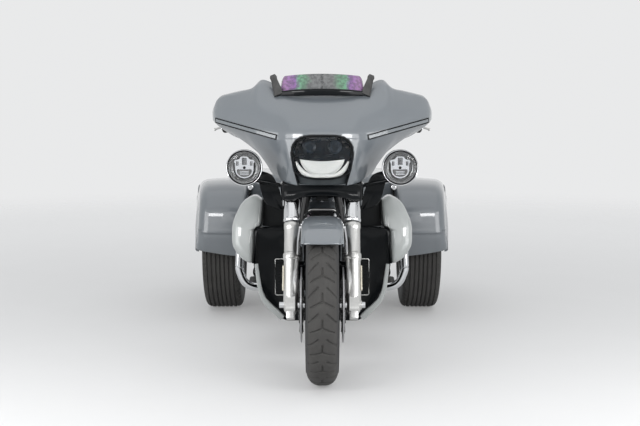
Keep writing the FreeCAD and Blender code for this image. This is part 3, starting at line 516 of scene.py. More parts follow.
def grainLeather():
    # grain from cells with sunk edges, over creases and a slow warp
    f = Finish("grainLeather")
    where = f.place()
    warp = f.noise(35, where, detail=2.0)
    cell = f.cells(330, where, "DISTANCE_TO_EDGE")
    crease = f.noise(55, where, detail=6.0, rough=0.6)
    colour = f.mixed(crease.rise(0.35, 0.7), (0.010, 0.0098, 0.0096), (0.024, 0.0232, 0.0225))
    height = cell.rise(0.0, 0.16) * 0.8 + crease * 0.5 + warp * 0.3
    return f.shader(colour, 0.40 + crease * 0.22, Normal=f.bump(height, 0.42, 0.0006))


def screenFilm():
    # a dark tinted screen whose coating turns from violet to green towards its ends, with painted shade standing
    # for the dash seen through it
    f = Finish("screenFilm")
    away = abs(f.split(f.place())[0]) / 0.172
    cloud = f.noise(26, detail=3.0)
    fine = f.noise(70, detail=5.0, rough=0.6)
    where = away + (cloud - 0.5) * 0.30
    coat = f.node("ValToRGB", {"stops": ((0.28, (0.15, 0.155, 0.155)), (0.42, (0.11, 0.28, 0.16)),
                                         (0.56, (0.12, 0.34, 0.19)), (0.68, (0.24, 0.09, 0.34)),
                                         (0.90, (0.34, 0.15, 0.38)))}, {0: where})
    # painted shade: the fine dark mottling stands in for the dash seen through the screen; a narrow strip down the
    # middle is darker too
    shade = fine.rise(0.38, 0.62) * 0.6 + (1 - away.rise(0.012, 0.05)) * 0.4
    colour = f.mixed(shade, coat, (0.035, 0.038, 0.040))
    return f.shader(colour, 0.10 + cloud * 0.15, Alpha=0.74 + shade * 0.2, Coat_Weight=0.6, Coat_Roughness=0.02)


def clearLens():
    # clear with a faint haze
    f = Finish("clearLens")
    haze = f.noise(40, detail=3.0)
    return f.shader((0.96, 0.97, 0.98), haze * 0.02, Transmission_Weight=1.0, IOR=1.2)


def mirrorBowl():
    # mirror metal, a little cloudy
    f = Finish("mirrorBowl")
    haze = f.noise(30, detail=3.0)
    colour = f.mixed(haze, (0.80, 0.81, 0.83), (0.92, 0.93, 0.94))
    return f.shader(colour, 0.10 + haze * 0.12, 1.0)


def lightGuide():
    # pale plastic with upright flutes, glowing faintly
    f = Finish("lightGuide")
    flutes = (f.split(f.place())[0] * 900).sine()
    colour = f.mixed(f.noise(24), (0.60, 0.605, 0.585), (0.74, 0.74, 0.715))
    return f.shader(colour, 0.25, Emission_Color=(0.95, 0.95, 0.92, 1), Emission_Strength=0.05,
                    Normal=f.bump(flutes, 0.12, 0.0004))


def tintedLens(name, dark, light):
    # small moulded prisms in two tints under a clear coat
    f = Finish(name)
    prism = f.cells(420)
    colour = f.mixed(prism, light, dark)
    return f.shader(colour, 0.12, Coat_Weight=1.0, Coat_Roughness=0.02, Normal=f.bump(prism, 0.35, 0.0006))


def wrinkleBlack():
    # wrinkle paint with dust in patches
    f = Finish("wrinkleBlack")
    wrinkle = f.noise(420, detail=2.0)
    dust = f.noise(12, detail=5.0)
    colour = f.mixed(dust, (0.012, 0.012, 0.013), (0.030, 0.030, 0.031))
    return f.shader(colour, 0.48 + dust * 0.15, 0.2, Normal=f.bump(wrinkle, 0.5, 0.0005))


def castSilver():
    # sand-cast metal, duller in patches
    f = Finish("castSilver")
    sand = f.noise(700, detail=3.0)
    dust = f.noise(10, detail=5.0)
    colour = f.mixed(dust, (0.26, 0.262, 0.27), (0.40, 0.402, 0.41))
    return f.shader(colour, 0.38 + dust * 0.18, 0.9, Normal=f.bump(sand, 0.25, 0.0004))


def frameEnamel():
    # coated enamel with dust where a noise runs high
    f = Finish("frameEnamel")
    dust = f.noise(18, detail=6.0)
    colour = f.mixed(dust.rise(0.5, 0.85), (0.010, 0.010, 0.011), (0.035, 0.033, 0.031))
    return f.shader(colour, 0.24 + dust * 0.2, Coat_Weight=0.5, Normal=f.bump(f.noise(140), 0.05, 0.0005))


def gripRubber():
    # fine-grained rubber in two close shades
    f = Finish("gripRubber")
    grain = f.noise(600, detail=3.0)
    colour = f.mixed(f.noise(20), (0.012, 0.012, 0.012), (0.028, 0.027, 0.026))
    return f.shader(colour, 0.62 + grain * 0.2, Normal=f.bump(grain, 0.3, 0.0004))


def coreFins():
    # the radiator's folded fins and flat tubes, darker between the tubes: painted shade in the gaps
    f = Finish("coreFins")
    x, z = f.split(f.place())[::2]
    tubes, fins = (z * 560).sine(), (x * 2600).sine()
    # painted shade: the colour darkens between the tubes, where the gaps among the fins lie in shade
    colour = f.mixed(tubes.rise(-0.2, 0.6), (0.004, 0.004, 0.004), (0.028, 0.028, 0.029))
    return f.shader(colour, 0.5, 0.3, Normal=f.bump(tubes * 0.7 + fins * 0.3, 0.7, 0.002))


# the second paint is the same slate painted lighter: painted light for the lower fairings
paint, litCopyPaint = bodyPaint("bodyPaint", paintColour), bodyPaint("litCopyPaint", litCopyColour)
plastic, charcoal = mouldedBlack("mouldedBlack", 1.0), mouldedBlack("charcoal", 8.0)
gloss = glossBlack()
smoked, gunmetal = darkMetal("smoked", 0.055, 0.13), darkMetal("gunmetal", 0.15, 0.26)
night = nightBlue()
chrome = brightChrome()
aluminium = satinAluminium()
disc = discSteel()
wheel = wheelBlack()
frontRubber = tyreRubber("frontRubber", frontAxle, 0.292)
rearRubber = tyreRubber("rearRubber", rearAxle, 0.298)
leather = grainLeather()
screen = screenFilm()
lens = clearLens()
bowl = mirrorBowl()
guide = lightGuide()
cream = tintedLens("creamReflector", (0.55, 0.50, 0.40), (0.78, 0.74, 0.62))
smoke = tintedLens("smokeLens", (0.115, 0.128, 0.138), (0.20, 0.22, 0.235))
red = tintedLens("redLens", (0.20, 0.006, 0.006), (0.55, 0.02, 0.02))
wrinkle = wrinkleBlack()
cast = castSilver()
enamel = frameEnamel()
rubber = gripRubber()
core = coreFins()
print("finishes made")


# front wheel

frontTread = {"radius": 0.319, "halfWidth": 0.0645, "bead": 0.241, "crown": 0.030, "pitches": 20, "depth": 0.0062,
              "groove": 0.0040, "around": 800, "across": 74}


def nearLine(p, q, start, stop):
    # distance of points (p, q) from a straight stroke between two points
    ax, ay = start
    bx, by = stop
    dx, dy = bx - ax, by - ay
    t = np.clip(((p - ax) * dx + (q - ay) * dy) / (dx * dx + dy * dy), 0, 1)
    return np.hypot(p - ax - t * dx, q - ay - t * dy)


def tyreSection(spec, count):
    # half round crown, bulged flank and a bead turned in to the rim, read by arc length from side to side
    r, w, b, crown = spec["radius"], spec["halfWidth"], spec["bead"], spec["crown"]
    knots = [(0, r), (w * 0.34, r - crown * 0.08), (w * 0.66, r - crown * 0.42), (w * 0.88, r - crown * 1.05),
             (w * 0.985, r - crown * 1.75), (w, b + (r - b) * 0.36), (w * 0.96, b + (r - b) * 0.16),
             (w * 0.88, b + 0.004), (w * 0.80, b + 0.001)]
    half = curve(knots, 160)
    full = np.concatenate((half[::-1] * (-1, 1), half[1:]))
    return evenly(full, count)


def frontTyre(spec):
    # the section turned about the axle and sunk along the tread's strokes, which repeat with the pitch
    section = tyreSection(spec, spec["across"])
    a = np.linspace(0, 2 * math.pi, spec["around"], endpoint=False)
    pitch = 2 * math.pi * spec["radius"] / spec["pitches"]
    w = np.broadcast_to(section[:, 0], (len(a), len(section)))
    along = np.broadcast_to((a * spec["radius"])[:, None], w.shape)
    side = np.abs(w)
    depth = np.zeros_like(w)
    strokes = (((0.0, 0.000), (0.0, 0.030)), ((0.000, 0.030), (0.042, 0.052)), ((0.017, 0.078), (0.050, 0.112)),
               ((0.017, -0.022), (0.050, 0.012)))
    for start, stop in strokes:
        for shift in (-pitch, 0.0, pitch):
            far = nearLine(side, np.mod(-along, pitch) + shift, start, stop)
            depth = np.maximum(depth, np.clip(1.25 - far / spec["groove"], 0, 1))
    depth *= np.clip((spec["halfWidth"] * 0.93 - side) / 0.006, 0, 1) * (section[:, 1] > spec["radius"] - 0.05)
    out = section[:, 1] - depth * spec["depth"]
    points = np.stack((w, -out * np.cos(a)[:, None], out * np.sin(a)[:, None]), axis=-1) + frontAxle
    return grid(points, closeU=True)


piece("frontTyre", frontTyre(frontTread), frontRubber, "front_wheel", ["front_tyre"], sharp=30)

frontRim = {"spokes": 9, "seat": 0.240, "drop": 0.222, "half": 0.056, "hub": 0.044, "lip": 0.247}


def spokeShape(spec):
    # a tapering bar from the hub to the drop of the rim, its section an oval that widens at both ends
    t = np.linspace(0, 1, 14)
    wide = 0.011 + 0.010 * np.abs(2 * t - 0.9) ** 2.2
    deep = 0.015 + 0.008 * (1 - t) ** 2
    out = spec["hub"] - 0.006 + (spec["drop"] + 0.004 - spec["hub"]) * t
    oval = roundBox(1, 1, 0.55, 5)
    x = oval[None, :, 0] * deep[:, None]
    y = oval[None, :, 1] * wide[:, None]
    z = np.broadcast_to(out[:, None], x.shape)
    return grid(np.stack((x, y, z), axis=-1) + frontAxle, closeV=True)


def rimBarrel(spec, centre):
    # flange, seat and drop of a cast rim, turned as one closed loop
    w, seat, drop, lip = spec["half"], spec["seat"], spec["drop"], spec["lip"]
    outer = [(-w - 0.004, lip), (-w + 0.003, lip - 0.001), (-w + 0.006, seat - 0.003), (-w * 0.55, seat - 0.008),
             (-w * 0.4, drop), (w * 0.4, drop), (w * 0.55, seat - 0.008), (w - 0.006, seat - 0.003),
             (w - 0.003, lip - 0.001), (w + 0.004, lip)]
    inner = [(w + 0.004, seat - 0.014), (w * 0.5, drop - 0.007), (-w * 0.5, drop - 0.007),
             (-w - 0.004, seat - 0.014)]
    loop = rounded(outer + inner + outer[:1], 0.003, 3)
    return lathed(loop, centre, count=96)


hub = lathed(rounded([(-0.070, 0.013), (-0.070, 0.034), (-0.052, 0.040), (-0.040, 0.047), (0.040, 0.047),
                      (0.052, 0.040), (0.070, 0.034), (0.070, 0.013)], 0.004), frontAxle, count=48)
spokes = copiesAround(spokeShape(frontRim), frontRim["spokes"], centre=frontAxle)
piece("frontRim", gather(rimBarrel(frontRim, frontAxle), hub, spokes), wheel, "front_wheel", ["front_rim"])

frontDisc = {"out": 0.150, "in": 0.104, "thick": 0.005, "spacing": 0.083, "holes": 36, "bobbins": 7}


def discRing(spec):
    # a flat ring with three rows of small drilled pits sunk in both faces
    a = np.linspace(0, 2 * math.pi, 432, endpoint=False)
    out = np.linspace(spec["in"], spec["out"], 20)
    r, t = np.meshgrid(out, a)
    pits = np.zeros_like(r)
    for row, shift in ((0.114, 0.0), (0.127, 0.33), (0.140, 0.66)):
        step = 2 * math.pi / spec["holes"]
        swing = (np.mod(t / step + shift, 1.0) - 0.5) * step * row
        pits = np.maximum(pits, np.clip(1.3 - np.hypot(swing, r - row) / 0.0032, 0, 1))
    h = spec["thick"] / 2 - pits * 0.0018
    face = np.stack((h, r * np.cos(t), r * np.sin(t)), axis=-1)
    back = face * (-1, 1, 1)
    loop = np.concatenate((face, back[:, ::-1]), axis=1)
    return grid(loop, closeU=True, closeV=True)


def carrierShape(spec):
    # the black centre: arms from the hub's flange to the ring, with a bobbin at the end of each
    arm = swept(((0.0, 0.040, 0), (0.0, 0.075, 0.004), (0.0, spec["in"] + 0.004, 0.006)),
                roundBox(0.0035, 0.009, 0.003, 3), scale=(1.4, 0.8, 1.0), up=(1, 0, 0))
    bobbin = lathed([(-0.006, 0.0), (-0.006, 0.007), (0.006, 0.007), (0.006, 0.0)],
                    (0, spec["in"] + 0.003, 0.006), count=14)
    flange = lathed([(-0.006, 0.014), (-0.006, 0.050), (0.006, 0.050), (0.006, 0.014)], (0, 0, 0), count=40)
    return gather(copiesAround(gather(arm, bobbin), spec["bobbins"]), flange)


discPlaces = [frontAxle + across * side * frontDisc["spacing"] for side in (1, -1)]
piece("frontDiscs", copiesAt(discRing(frontDisc), discPlaces), disc, "front_wheel", ["front_brake_discs"], sharp=30)
piece("discCarriers", copiesAt(carrierShape(frontDisc), discPlaces), wheel, "front_wheel")
print("front wheel made")


# fork

forkSpec = {"spacing": 0.125, "offset": 0.050, "slider": 0.030, "cover": 0.0335}


def onLeg(profile, side):
    # a profile of (up the leg, out) turned about the line of one fork leg
    a = np.linspace(0, 2 * math.pi, 48, endpoint=False)[:, None]
    foot = onSteering(0, forkSpec["offset"], side * forkSpec["spacing"])
    points = (foot + steerUp * profile[None, :, :1] + across * (profile[:, 1] * np.cos(a))[..., None]
              + steerAhead * (profile[:, 1] * np.sin(a))[..., None])
    return grid(points, closeU=True)


def forkSlider(side):
    # a turned tube: tapered foot, raised collar over the reflector and a slight lip under the cover
    s = forkSpec["slider"]
    profile = [(-0.058, 0.0), (-0.058, s - 0.010), (-0.050, s - 0.004), (-0.030, s), (0.020, s), (0.160, s),
               (0.165, s + 0.004), (0.187, s + 0.004), (0.192, s), (0.290, s), (0.300, s + 0.0022),
               (0.318, s + 0.0022), (0.320, s - 0.004)]
    return onLeg(rounded(profile, 0.003, 3), side)


def axleClamp(side):
    # a block round the axle with a lug under it, and the axle's nut
    block = plate(roundBox(0.030, 0.036, 0.018, 7), -0.020, 0.020, "YZ", 0.003)
    lug = plate(roundBox(0.012, 0.024, 0.007, 5) + (-0.012, -0.040), -0.017, 0.017, "YZ", 0.002)
    nut = lathed([(-0.003, 0.0), (-0.003, 0.019), (0.006, 0.019), (0.009, 0.015), (0.009, 0.0)],
                 (side * 0.024, 0, 0), count=24)
    shape = gather(block, lug, nut)
    return moved(turnedShape(shape, -rakeDegrees), frontAxle + across * side * forkSpec["spacing"])


sliders = gather(*[shape for side in (1, -1) for shape in (forkSlider(side), axleClamp(side))])
piece("forkSliders", sliders, aluminium, "front_fork", ["fork_sliders"], sharp=38)


def forkCover(side):
    # the bright tube over the fork's top, a step and a thin ring at its foot
    c = forkSpec["cover"]
    profile = [(0.322, 0.0), (0.322, c - 0.003), (0.325, c), (0.334, c + 0.0015), (0.340, c), (0.466, c),
               (0.4695, c - 0.002), (0.4695, 0.0)]
    return onLeg(rounded(profile, 0.002, 3), side)


def upperTube(side):
    # the plain tube from the cover up to the top clamp
    foot = onSteering(0.505, forkSpec["offset"], side * forkSpec["spacing"])
    head = onSteering(0.639, forkSpec["offset"], side * forkSpec["spacing"])
    return swept(np.linspace(foot, head, 4), ring(0.0268, 32), up=(1, 0, 0))


covers = gather(*[make(side) for make in (forkCover, upperTube) for side in (1, -1)])
piece("forkCovers", covers, chrome, "front_fork", ["fork_covers"], sharp=38)


def reflector():
    # a thin upright strip on the outer side of a slider
    middle = onSteering(0.085, forkSpec["offset"] + 0.004, forkSpec["spacing"] + forkSpec["slider"] + 0.002)
    strip = plate(roundBox(0.0085, 0.052, 0.004, 4), -0.003, 0.003, "YZ", 0.001)
    return moved(turnedShape(strip, -rakeDegrees), middle)


piece("forkReflectors", bothSides(reflector()), cream, "front_fork", sharp=30)

caliperSpec = {"spacing": 0.083, "turn": 38}


def caliperShape():
    # two rounded halves astride the disc joined by a bridge, two piston bosses on the outer one
    half = plate(rounded([(0.118, -0.052), (0.196, -0.050), (0.199, 0.0), (0.196, 0.060), (0.118, 0.062),
                          (0.110, 0.004), (0.118, -0.052)], 0.018, 6)[:-1], 0.009, 0.034, "YZ", 0.004)
    inner = plate(rounded([(0.122, -0.050), (0.186, -0.048), (0.189, 0.0), (0.186, 0.058), (0.122, 0.060),
                           (0.116, 0.004), (0.122, -0.050)], 0.018, 6)[:-1], -0.024, -0.009, "YZ", 0.003)
    bridge = plate(rounded([(0.164, -0.040), (0.196, -0.038), (0.198, 0.048), (0.164, 0.050), (0.164, -0.040)],
                           0.006, 4)[:-1], -0.012, 0.012, "YZ", 0.002)
    bosses = gather(*[lathed(rounded([(0.033, 0.0205), (0.0385, 0.0185), (0.0385, 0.0)], 0.002),
                             (0, 0.147, z), count=28) for z in (-0.022, 0.032)])
    return gather(half, inner, bridge, bosses)


def caliperAt(side):
    # the left shape or its mirror, turned round the axle and set beside its disc
    shape = turnedShape(onSide(side, caliperShape()), caliperSpec["turn"])
    return moved(shape, frontAxle + across * side * caliperSpec["spacing"])


piece("brakeCalipers", gather(caliperAt(1), caliperAt(-1)), gloss, "front_fork", ["brake_calipers"],
      sharp=38)

frontFenderSpec = {"half": 0.082, "crown": 0.355, "ahead": 38, "behind": 95, "wall": 0.0035}


def frontFender(spec):
    # a crowned section (flat middle, tight shoulders, straight skirts) turned about the axle; the skirt
    # shortens to the front edge and deepens over the fork
    knots = [(0, 0.0), (0.034, -0.0012), (0.060, -0.0055), (0.076, -0.015), (0.0815, -0.027), (0.082, -0.045),
             (0.0805, -0.060)]
    half = curve(knots, 26)
    full = np.concatenate((half[::-1] * (-1, 1), half[1:]))
    a = np.radians(np.linspace(-spec["ahead"], spec["behind"], 72))
    t = np.linspace(0, 1, 72)
    depth = 0.50 + 0.62 * np.sin(math.pi * np.clip(t * 1.02, 0, 1)) ** 0.8
    depth[:6] *= np.linspace(0.80, 1.0, 6)
    narrow = 1 - 0.10 * np.clip((t - 0.72) / 0.28, 0, 1) ** 2
    x = full[None, :, 0] * narrow[:, None]
    drop = full[None, :, 1] * np.where(np.abs(full[:, 0]) > 0.070, depth[:, None], 1.0)
    edge = 0.010 * (1 - (np.abs(full[:, 0]) / spec["half"]) ** 2)
    lean = a[:, None] - np.where(t[:, None] < 0.06, (1 - t[:, None] / 0.06) * edge[None] / 0.34, 0.0)
    out = spec["crown"] + drop
    points = np.stack((x, out * np.sin(lean), out * np.cos(lean)), axis=-1)
    return grid(points + frontAxle)


piece("frontFender", frontFender(frontFenderSpec), paint, "front_fork", ["front_fender"],
      thick=frontFenderSpec["wall"], sharp=50)
fenderBolts = bothSides(lathed([(0.0815, 0.0), (0.0815, 0.007), (0.086, 0.006), (0.0865, 0.0)],
                               frontAxle + (0, 0.05, 0.315), count=12))
fenderStay = bothSides(bentTube(frontAxle + np.array(((0.086, -0.06, 0.318), (0.094, -0.02, 0.26),
                                                      (0.096, 0.03, 0.20))), 0.006, 0.02, 10, up=(1, 0, 0)))
piece("fenderStays", gather(fenderBolts, fenderStay), chrome, "front_fork")
print("fork made")


# fairing

# half of the fairing as a net of knots in millimetres, from the middle out to the wing's tip; each row
# runs down the front: rear top edge, shoulder, upper face, brow, crease, under the crease, lower face,
# rear bottom edge
fairingNet = {
    "middle": ((0, -700, 1160), (0, -768, 1150), (0, -850, 1084), (0, -912, 1022), (0, -925, 975),
               (0, -930, 930), (0, -925, 850), (0, -900, 787)),
    "lamp": ((70, -699, 1161), (70, -766, 1150), (70, -847, 1084), (70, -908, 1021), (72, -921, 975),
             (72, -926, 925), (68, -921, 850), (60, -897, 787)),
    "lampSide": ((130, -696, 1170), (130, -758, 1152), (132, -838, 1086), (130, -893, 1018), (137, -903, 972),
                 (137, -904, 925), (129, -896, 855), (112, -878, 787)),
    "inner": ((185, -690, 1192), (186, -742, 1160), (190, -814, 1092), (186, -856, 1018), (184, -868, 973),
              (180, -852, 917), (168, -838, 856), (158, -826, 797)),
    "shoulder": ((252, -668, 1217), (258, -706, 1190), (266, -772, 1110), (264, -806, 1033), (262, -818, 992),
                 (250, -788, 942), (230, -758, 886), (205, -735, 821)),
    "neck": ((298, -650, 1183), (303, -685, 1172), (309, -744, 1106), (305, -776, 1040), (303, -786, 1002),
             (288, -754, 958), (264, -724, 910), (231, -700, 856)),
    "wing": ((346, -632, 1172), (350, -662, 1160), (354, -716, 1100), (347, -744, 1046), (343, -751, 1012),
             (325, -718, 977), (298, -688, 936), (256, -664, 892)),
    "outer": ((404, -608, 1159), (414, -632, 1146), (420, -668, 1096), (415, -688, 1052), (412, -693, 1029),
              (396, -664, 1004), (368, -638, 978), (325, -618, 951)),
    "end": ((438, -597, 1147), (450, -610, 1130), (457, -632, 1090), (454, -644, 1056), (452, -646, 1039),
            (440, -629, 1020), (420, -612, 1003), (392, -601, 984)),
    "tip": ((456, -592, 1122), (465, -594, 1106), (470.5, -600, 1084), (470.5, -602, 1062), (469.5, -602, 1047),
            (463, -599, 1036), (450, -596, 1026), (432, -593, 1014)),
}
fairingSpec = {"across": 289, "wall": 0.005, "sink": 0.055}
halfNet = np.array(tuple(fairingNet.values())) / 1000
fullNet = np.concatenate((halfNet[:0:-1] * (-1, 1, 1), halfNet))
netMiddle, creaseRow = len(halfNet) - 1, 4


def knotWeights(t, count):
    # where the four knots round each value start, and their Catmull-Rom weights
    i = np.clip(np.floor(t).astype(int), 0, count - 2)
    f = t - i
    weights = np.stack((-f + 2 * f ** 2 - f ** 3, 2 - 5 * f ** 2 + 3 * f ** 3, f + 4 * f ** 2 - 3 * f ** 3,
                        f ** 3 - f ** 2), axis=-1) / 2
    return i, weights


def netRows(net, t):
    # the net read between its rows at each value of t, carried straight on past its last knots
    padded = np.concatenate((2 * net[:1] - net[1:2], net, 2 * net[-1:] - net[-2:-1]))
    i, weights = knotWeights(t, len(net))
    return sum(weights[:, k, None, None] * padded[i + k] for k in range(4))


def fairingAt(u, v):
    # u counts knots from the middle (negative on the right), v counts knots down the front; the crease is
    # a fold because the two sides of it are read apart
    rows = netRows(fullNet, u + netMiddle)
    flipped = rows.transpose(1, 0, 2)
    upper = netRows(flipped[:creaseRow + 1], np.minimum(v, creaseRow))
    lower = netRows(flipped[creaseRow:], np.maximum(v - creaseRow, 0))
    return np.where((v > creaseRow)[:, None, None], lower, upper).transpose(1, 0, 2)


# half of the headlight's outline in millimetres (x, z), from the top round to the bottom
lampHalf = ((0, 991), (32, 991), (62, 989), (87, 983), (108, 968), (120, 950), (125, 928), (124, 903), (120, 872),
            (113, 845), (95, 829), (73, 820), (34, 813.5), (0, 812.5))
headlightSpec = {"front": -0.934, "middle": 0.903, "around": 112}
front, lampMiddle = headlightSpec["front"], headlightSpec["middle"]


def lampOutline(inset):
    # the whole outline, moved in square to itself
    half = np.array(lampHalf) / 1000
    full = curve(np.concatenate((half, half[-2:0:-1] * (-1, 1))), 400, closed=True)
    line = evenly(np.concatenate((full, half[:1])), headlightSpec["around"] + 1)[:-1]
    run = np.roll(line, -1, 0) - np.roll(line, 1, 0)
    run /= np.linalg.norm(run, axis=1, keepdims=True)
    return line + np.stack((run[:, 1], -run[:, 0]), axis=1) * inset


def insideLamp(x, z):
    # how far out a point lies from the lamp's middle, as a share of its outline in that direction
    line = lampOutline(0.0) - (0, lampMiddle)
    angle, reach = np.arctan2(line[:, 1], line[:, 0]), np.linalg.norm(line, axis=1)
    order = np.argsort(angle)
    at = np.arctan2(z - lampMiddle, x)
    return np.hypot(x, z - lampMiddle) / np.interp(at, angle[order], reach[order], period=2 * math.pi)


def chinHalf(z):
    # half the width of the plate under the lamp, growing with height
    return 0.0985 + 0.0145 * (z - 0.790) / 0.054


def fairingSkin(spec):
    # the net on a fine grid, pushed back inside the headlight's outline
    u = np.linspace(-netMiddle, netMiddle, spec["across"])
    v = np.concatenate((np.linspace(0, creaseRow, 70), np.linspace(creaseRow, len(halfNet[0]) - 1, 52)[1:]))
    points = fairingAt(u, v)
    x, z = points[..., 0], points[..., 2]
    chin = np.clip((chinHalf(z) - np.abs(x)) / 0.002, 0, 1) * (z < 0.86)
    sunk = np.clip((1.01 - insideLamp(x, z)) / 0.05, 0, 1)
    points[..., 1] += np.maximum(spec["sink"] * sunk, 0.016 * chin)
    return grid(points)


piece("fairingSkin", fairingSkin(fairingSpec), paint, "front_fork", ["fairing_outer"],
      thick=fairingSpec["wall"], sharp=24)


lightStrip = {"from": 3.05, "to": 8.02, "width": 0.0225, "paintedGlowLift": 0.0035, "frame": 0.0045, "steps": 80}


def fairingPoints(u, v):
    # one point for each pair of values
    pick = np.arange(len(u))
    return fairingAt(u, v)[pick, pick]


def stripBand(spec, low, high, paintedGlowLift):
    # a band over the crease between two heights above it: up along the skin, out square to it, ends closed
    u = np.linspace(spec["from"], spec["to"], spec["steps"])
    line = fairingPoints(u, np.full_like(u, creaseRow))
    along = np.gradient(line, axis=0)
    along /= np.linalg.norm(along, axis=1, keepdims=True)
    up = fairingPoints(u, np.full_like(u, creaseRow - 0.3)) - line
    up -= along * (up * along).sum(1, keepdims=True)
    up /= np.linalg.norm(up, axis=1, keepdims=True)
    out = np.cross(along, up)
    out *= np.sign(-out[:, 1:2])
    edge = min(0.0008, (high - low) / 3)
    section = np.array(((low, -0.006), (low, paintedGlowLift - edge), (low + edge, paintedGlowLift), (high - edge, paintedGlowLift),
                        (high, paintedGlowLift - edge), (high, -0.006)))
    points = line[:, None] + up[:, None] * section[:, :1] + out[:, None] * section[:, 1:]
    points = np.concatenate((points[:1].mean(1, keepdims=True).repeat(6, 1), points,
                             points[-1:].mean(1, keepdims=True).repeat(6, 1)))
    return grid(points, closeV=True)


def stripParts(spec):
    # a dark frame, two long rails and two short ends, round a smoky lens
    low, high, rail, paintedGlowLift = -0.004, spec["width"] - 0.004, spec["frame"], spec["paintedGlowLift"]
    rails = [stripBand(spec, low, low + rail, paintedGlowLift), stripBand(spec, high - rail, high, paintedGlowLift)]
    ends = [stripBand({**spec, "from": at, "to": at + 0.05, "steps": 4}, low, high, paintedGlowLift)
            for at in (spec["from"] - 0.01, spec["to"] - 0.06)]
    return gather(*rails, *ends), stripBand(spec, low + rail, high - rail, paintedGlowLift - 0.0012)


stripFrame, stripLens = stripParts(lightStrip)
piece("stripFrames", bothSides(stripFrame), gloss, "front_fork", sharp=30)
piece("lightStrips", bothSides(stripLens), smoke, "front_fork", sharp=30)


# headlight

def lampRows(rows):
    # rings of the outline at given insets and depths, one behind another
    return grid(np.stack([np.insert(lampOutline(inset), 1, depth, axis=1) for inset, depth in rows]), closeV=True)


bezelRows = ((-0.0015, 0.075), (-0.0015, 0.009), (-0.0005, 0.003), (0.0015, 0.0005), (0.0045, 0.0), (0.0065, 0.002),
             (0.0072, 0.006), (0.0075, 0.060), (-0.0015, 0.075))
piece("headlightBezel", lampRows([(inset, front + back) for inset, back in bezelRows]), gloss, "front_fork",
      ["headlight_housing"], sharp=30)


def lampFace(inset, depth, bulge, rings=14):
    # the outline shrunk ring by ring to its middle, bowed forward as a shallow dome
    share = (1 - np.linspace(0, 1, rings))[:, None, None]
    flat = lampOutline(inset)[None]
    xz = (0, lampMiddle) + (flat - (0, lampMiddle)) * share
    y = np.broadcast_to(depth - bulge * (1 - share[..., 0] ** 2), xz.shape[:2])
    return np.stack((xz[..., 0], y, xz[..., 1]), axis=-1)


outer, inner = lampFace(0.0074, front + 0.008, 0.005), lampFace(0.0074, front + 0.0105, 0.005)
piece("headlightLens", grid(np.concatenate((outer[::-1], inner)), closeV=True), lens, "front_fork",
      ["headlight_lens"])

wall = np.insert(lampOutline(0.0074), 1, front + 0.012, axis=1)[None]
piece("headlightWell", grid(np.concatenate((wall, lampFace(0.012, front + 0.050, -0.004, 8))), closeV=True),
      night, "front_fork", sheet=True)

# the bowl in the lower half: (half width, z) down its rim, in millimetres
bowlRim = ((90, 894), (87, 886), (84, 877), (77.5, 866), (69, 854), (58, 845), (44, 838), (26, 835), (0.5, 834.5))


def lowerBowl():
    # across each level the surface hollows away from the front; the top edge dips towards its middle
    rim = evenly(curve(np.array(bowlRim) / 1000, 60), 26)
    u = np.linspace(-1, 1, 61)[None]
    level = np.linspace(0, 1, 26)[:, None]
    x = rim[:, :1] * u
    z = rim[:, 1:] - 0.0095 * (1 - u ** 2) * (1 - level) ** 1.5
    y = front + 0.014 + 0.026 * (1 - np.abs(u) ** 4) * np.sqrt(np.sin(math.pi * (0.06 + 0.94 * level)).clip(0, 1))
    return grid(np.stack(np.broadcast_arrays(x, y, z), axis=-1))


piece("lowerBowl", lowerBowl(), guide, "front_fork", sheet=True, thick=0.0015, sharp=60)

# the bright crescent round the bowl: its outer and inner edges as (half width, z), in millimetres
crescentOuter = ((106, 884), (102, 868), (95, 851), (85, 838), (73, 829), (54, 823), (33, 820), (0, 819.5))
crescentInner = ((105, 886), (95, 872), (82, 858), (71, 848), (60, 841), (45, 835), (27, 832), (0, 831.5))


def guideCrescent(columns=41, rows=7):
    # between the two edges, bowed forward in its middle
    edges = [evenly(curve(np.array(edge) / 1000, 60), columns) for edge in (crescentOuter, crescentInner)]
    edges = [np.concatenate((edge, edge[-2::-1] * (-1, 1))) for edge in edges]
    share = np.linspace(0, 1, rows)[None, :, None]
    xz = edges[0][:, None] * (1 - share) + edges[1][:, None] * share
    y = front + 0.0145 - 0.003 * np.sin(math.pi * share[..., 0]) + np.zeros(xz.shape[:2])
    return grid(np.stack((xz[..., 0], y, xz[..., 1]), axis=-1))


piece("guideCrescent", guideCrescent(), guide, "front_fork", sheet=True, thick=0.003, sharp=50)


def lampInsides():
    # two lens barrels high in the lamp, a stack of thin shelves over the bowl and four small brackets
    profile = [(0.048, 0.030), (0.026, 0.030), (0.022, 0.028), (0.026, 0.023), (0.030, 0.016), (0.028, 0.0)]
    barrels = gather(*[lathed(rounded([(front + y, r) for y, r in profile], 0.003), (x, 0, 0.943),
                              axis="Y", count=40) for x in (-0.052, 0.052)])
    shelves = copiesAt(plate(roundBox(0.094, 0.0014, 0.0010, 3), front + 0.026, front + 0.046, "XZ", 0.0005),
                       [(0, 0, z) for z in (0.8985, 0.9045, 0.9105)])
    brackets = gather(*[plate(roundBox(0.006, 0.004, 0.002, 4) + (side * x, z), front + 0.020, front + 0.030,
                              edge=0.002) for side in (1, -1) for x, z in ((0.086, 0.962), (0.100, 0.942))])
    return barrels, shelves, brackets


barrels, shelves, brackets = lampInsides()
piece("lampBarrels", barrels, night, "front_fork")
piece("lampShelves", shelves, night, "front_fork")
piece("lampBrackets", brackets, smoked, "front_fork")


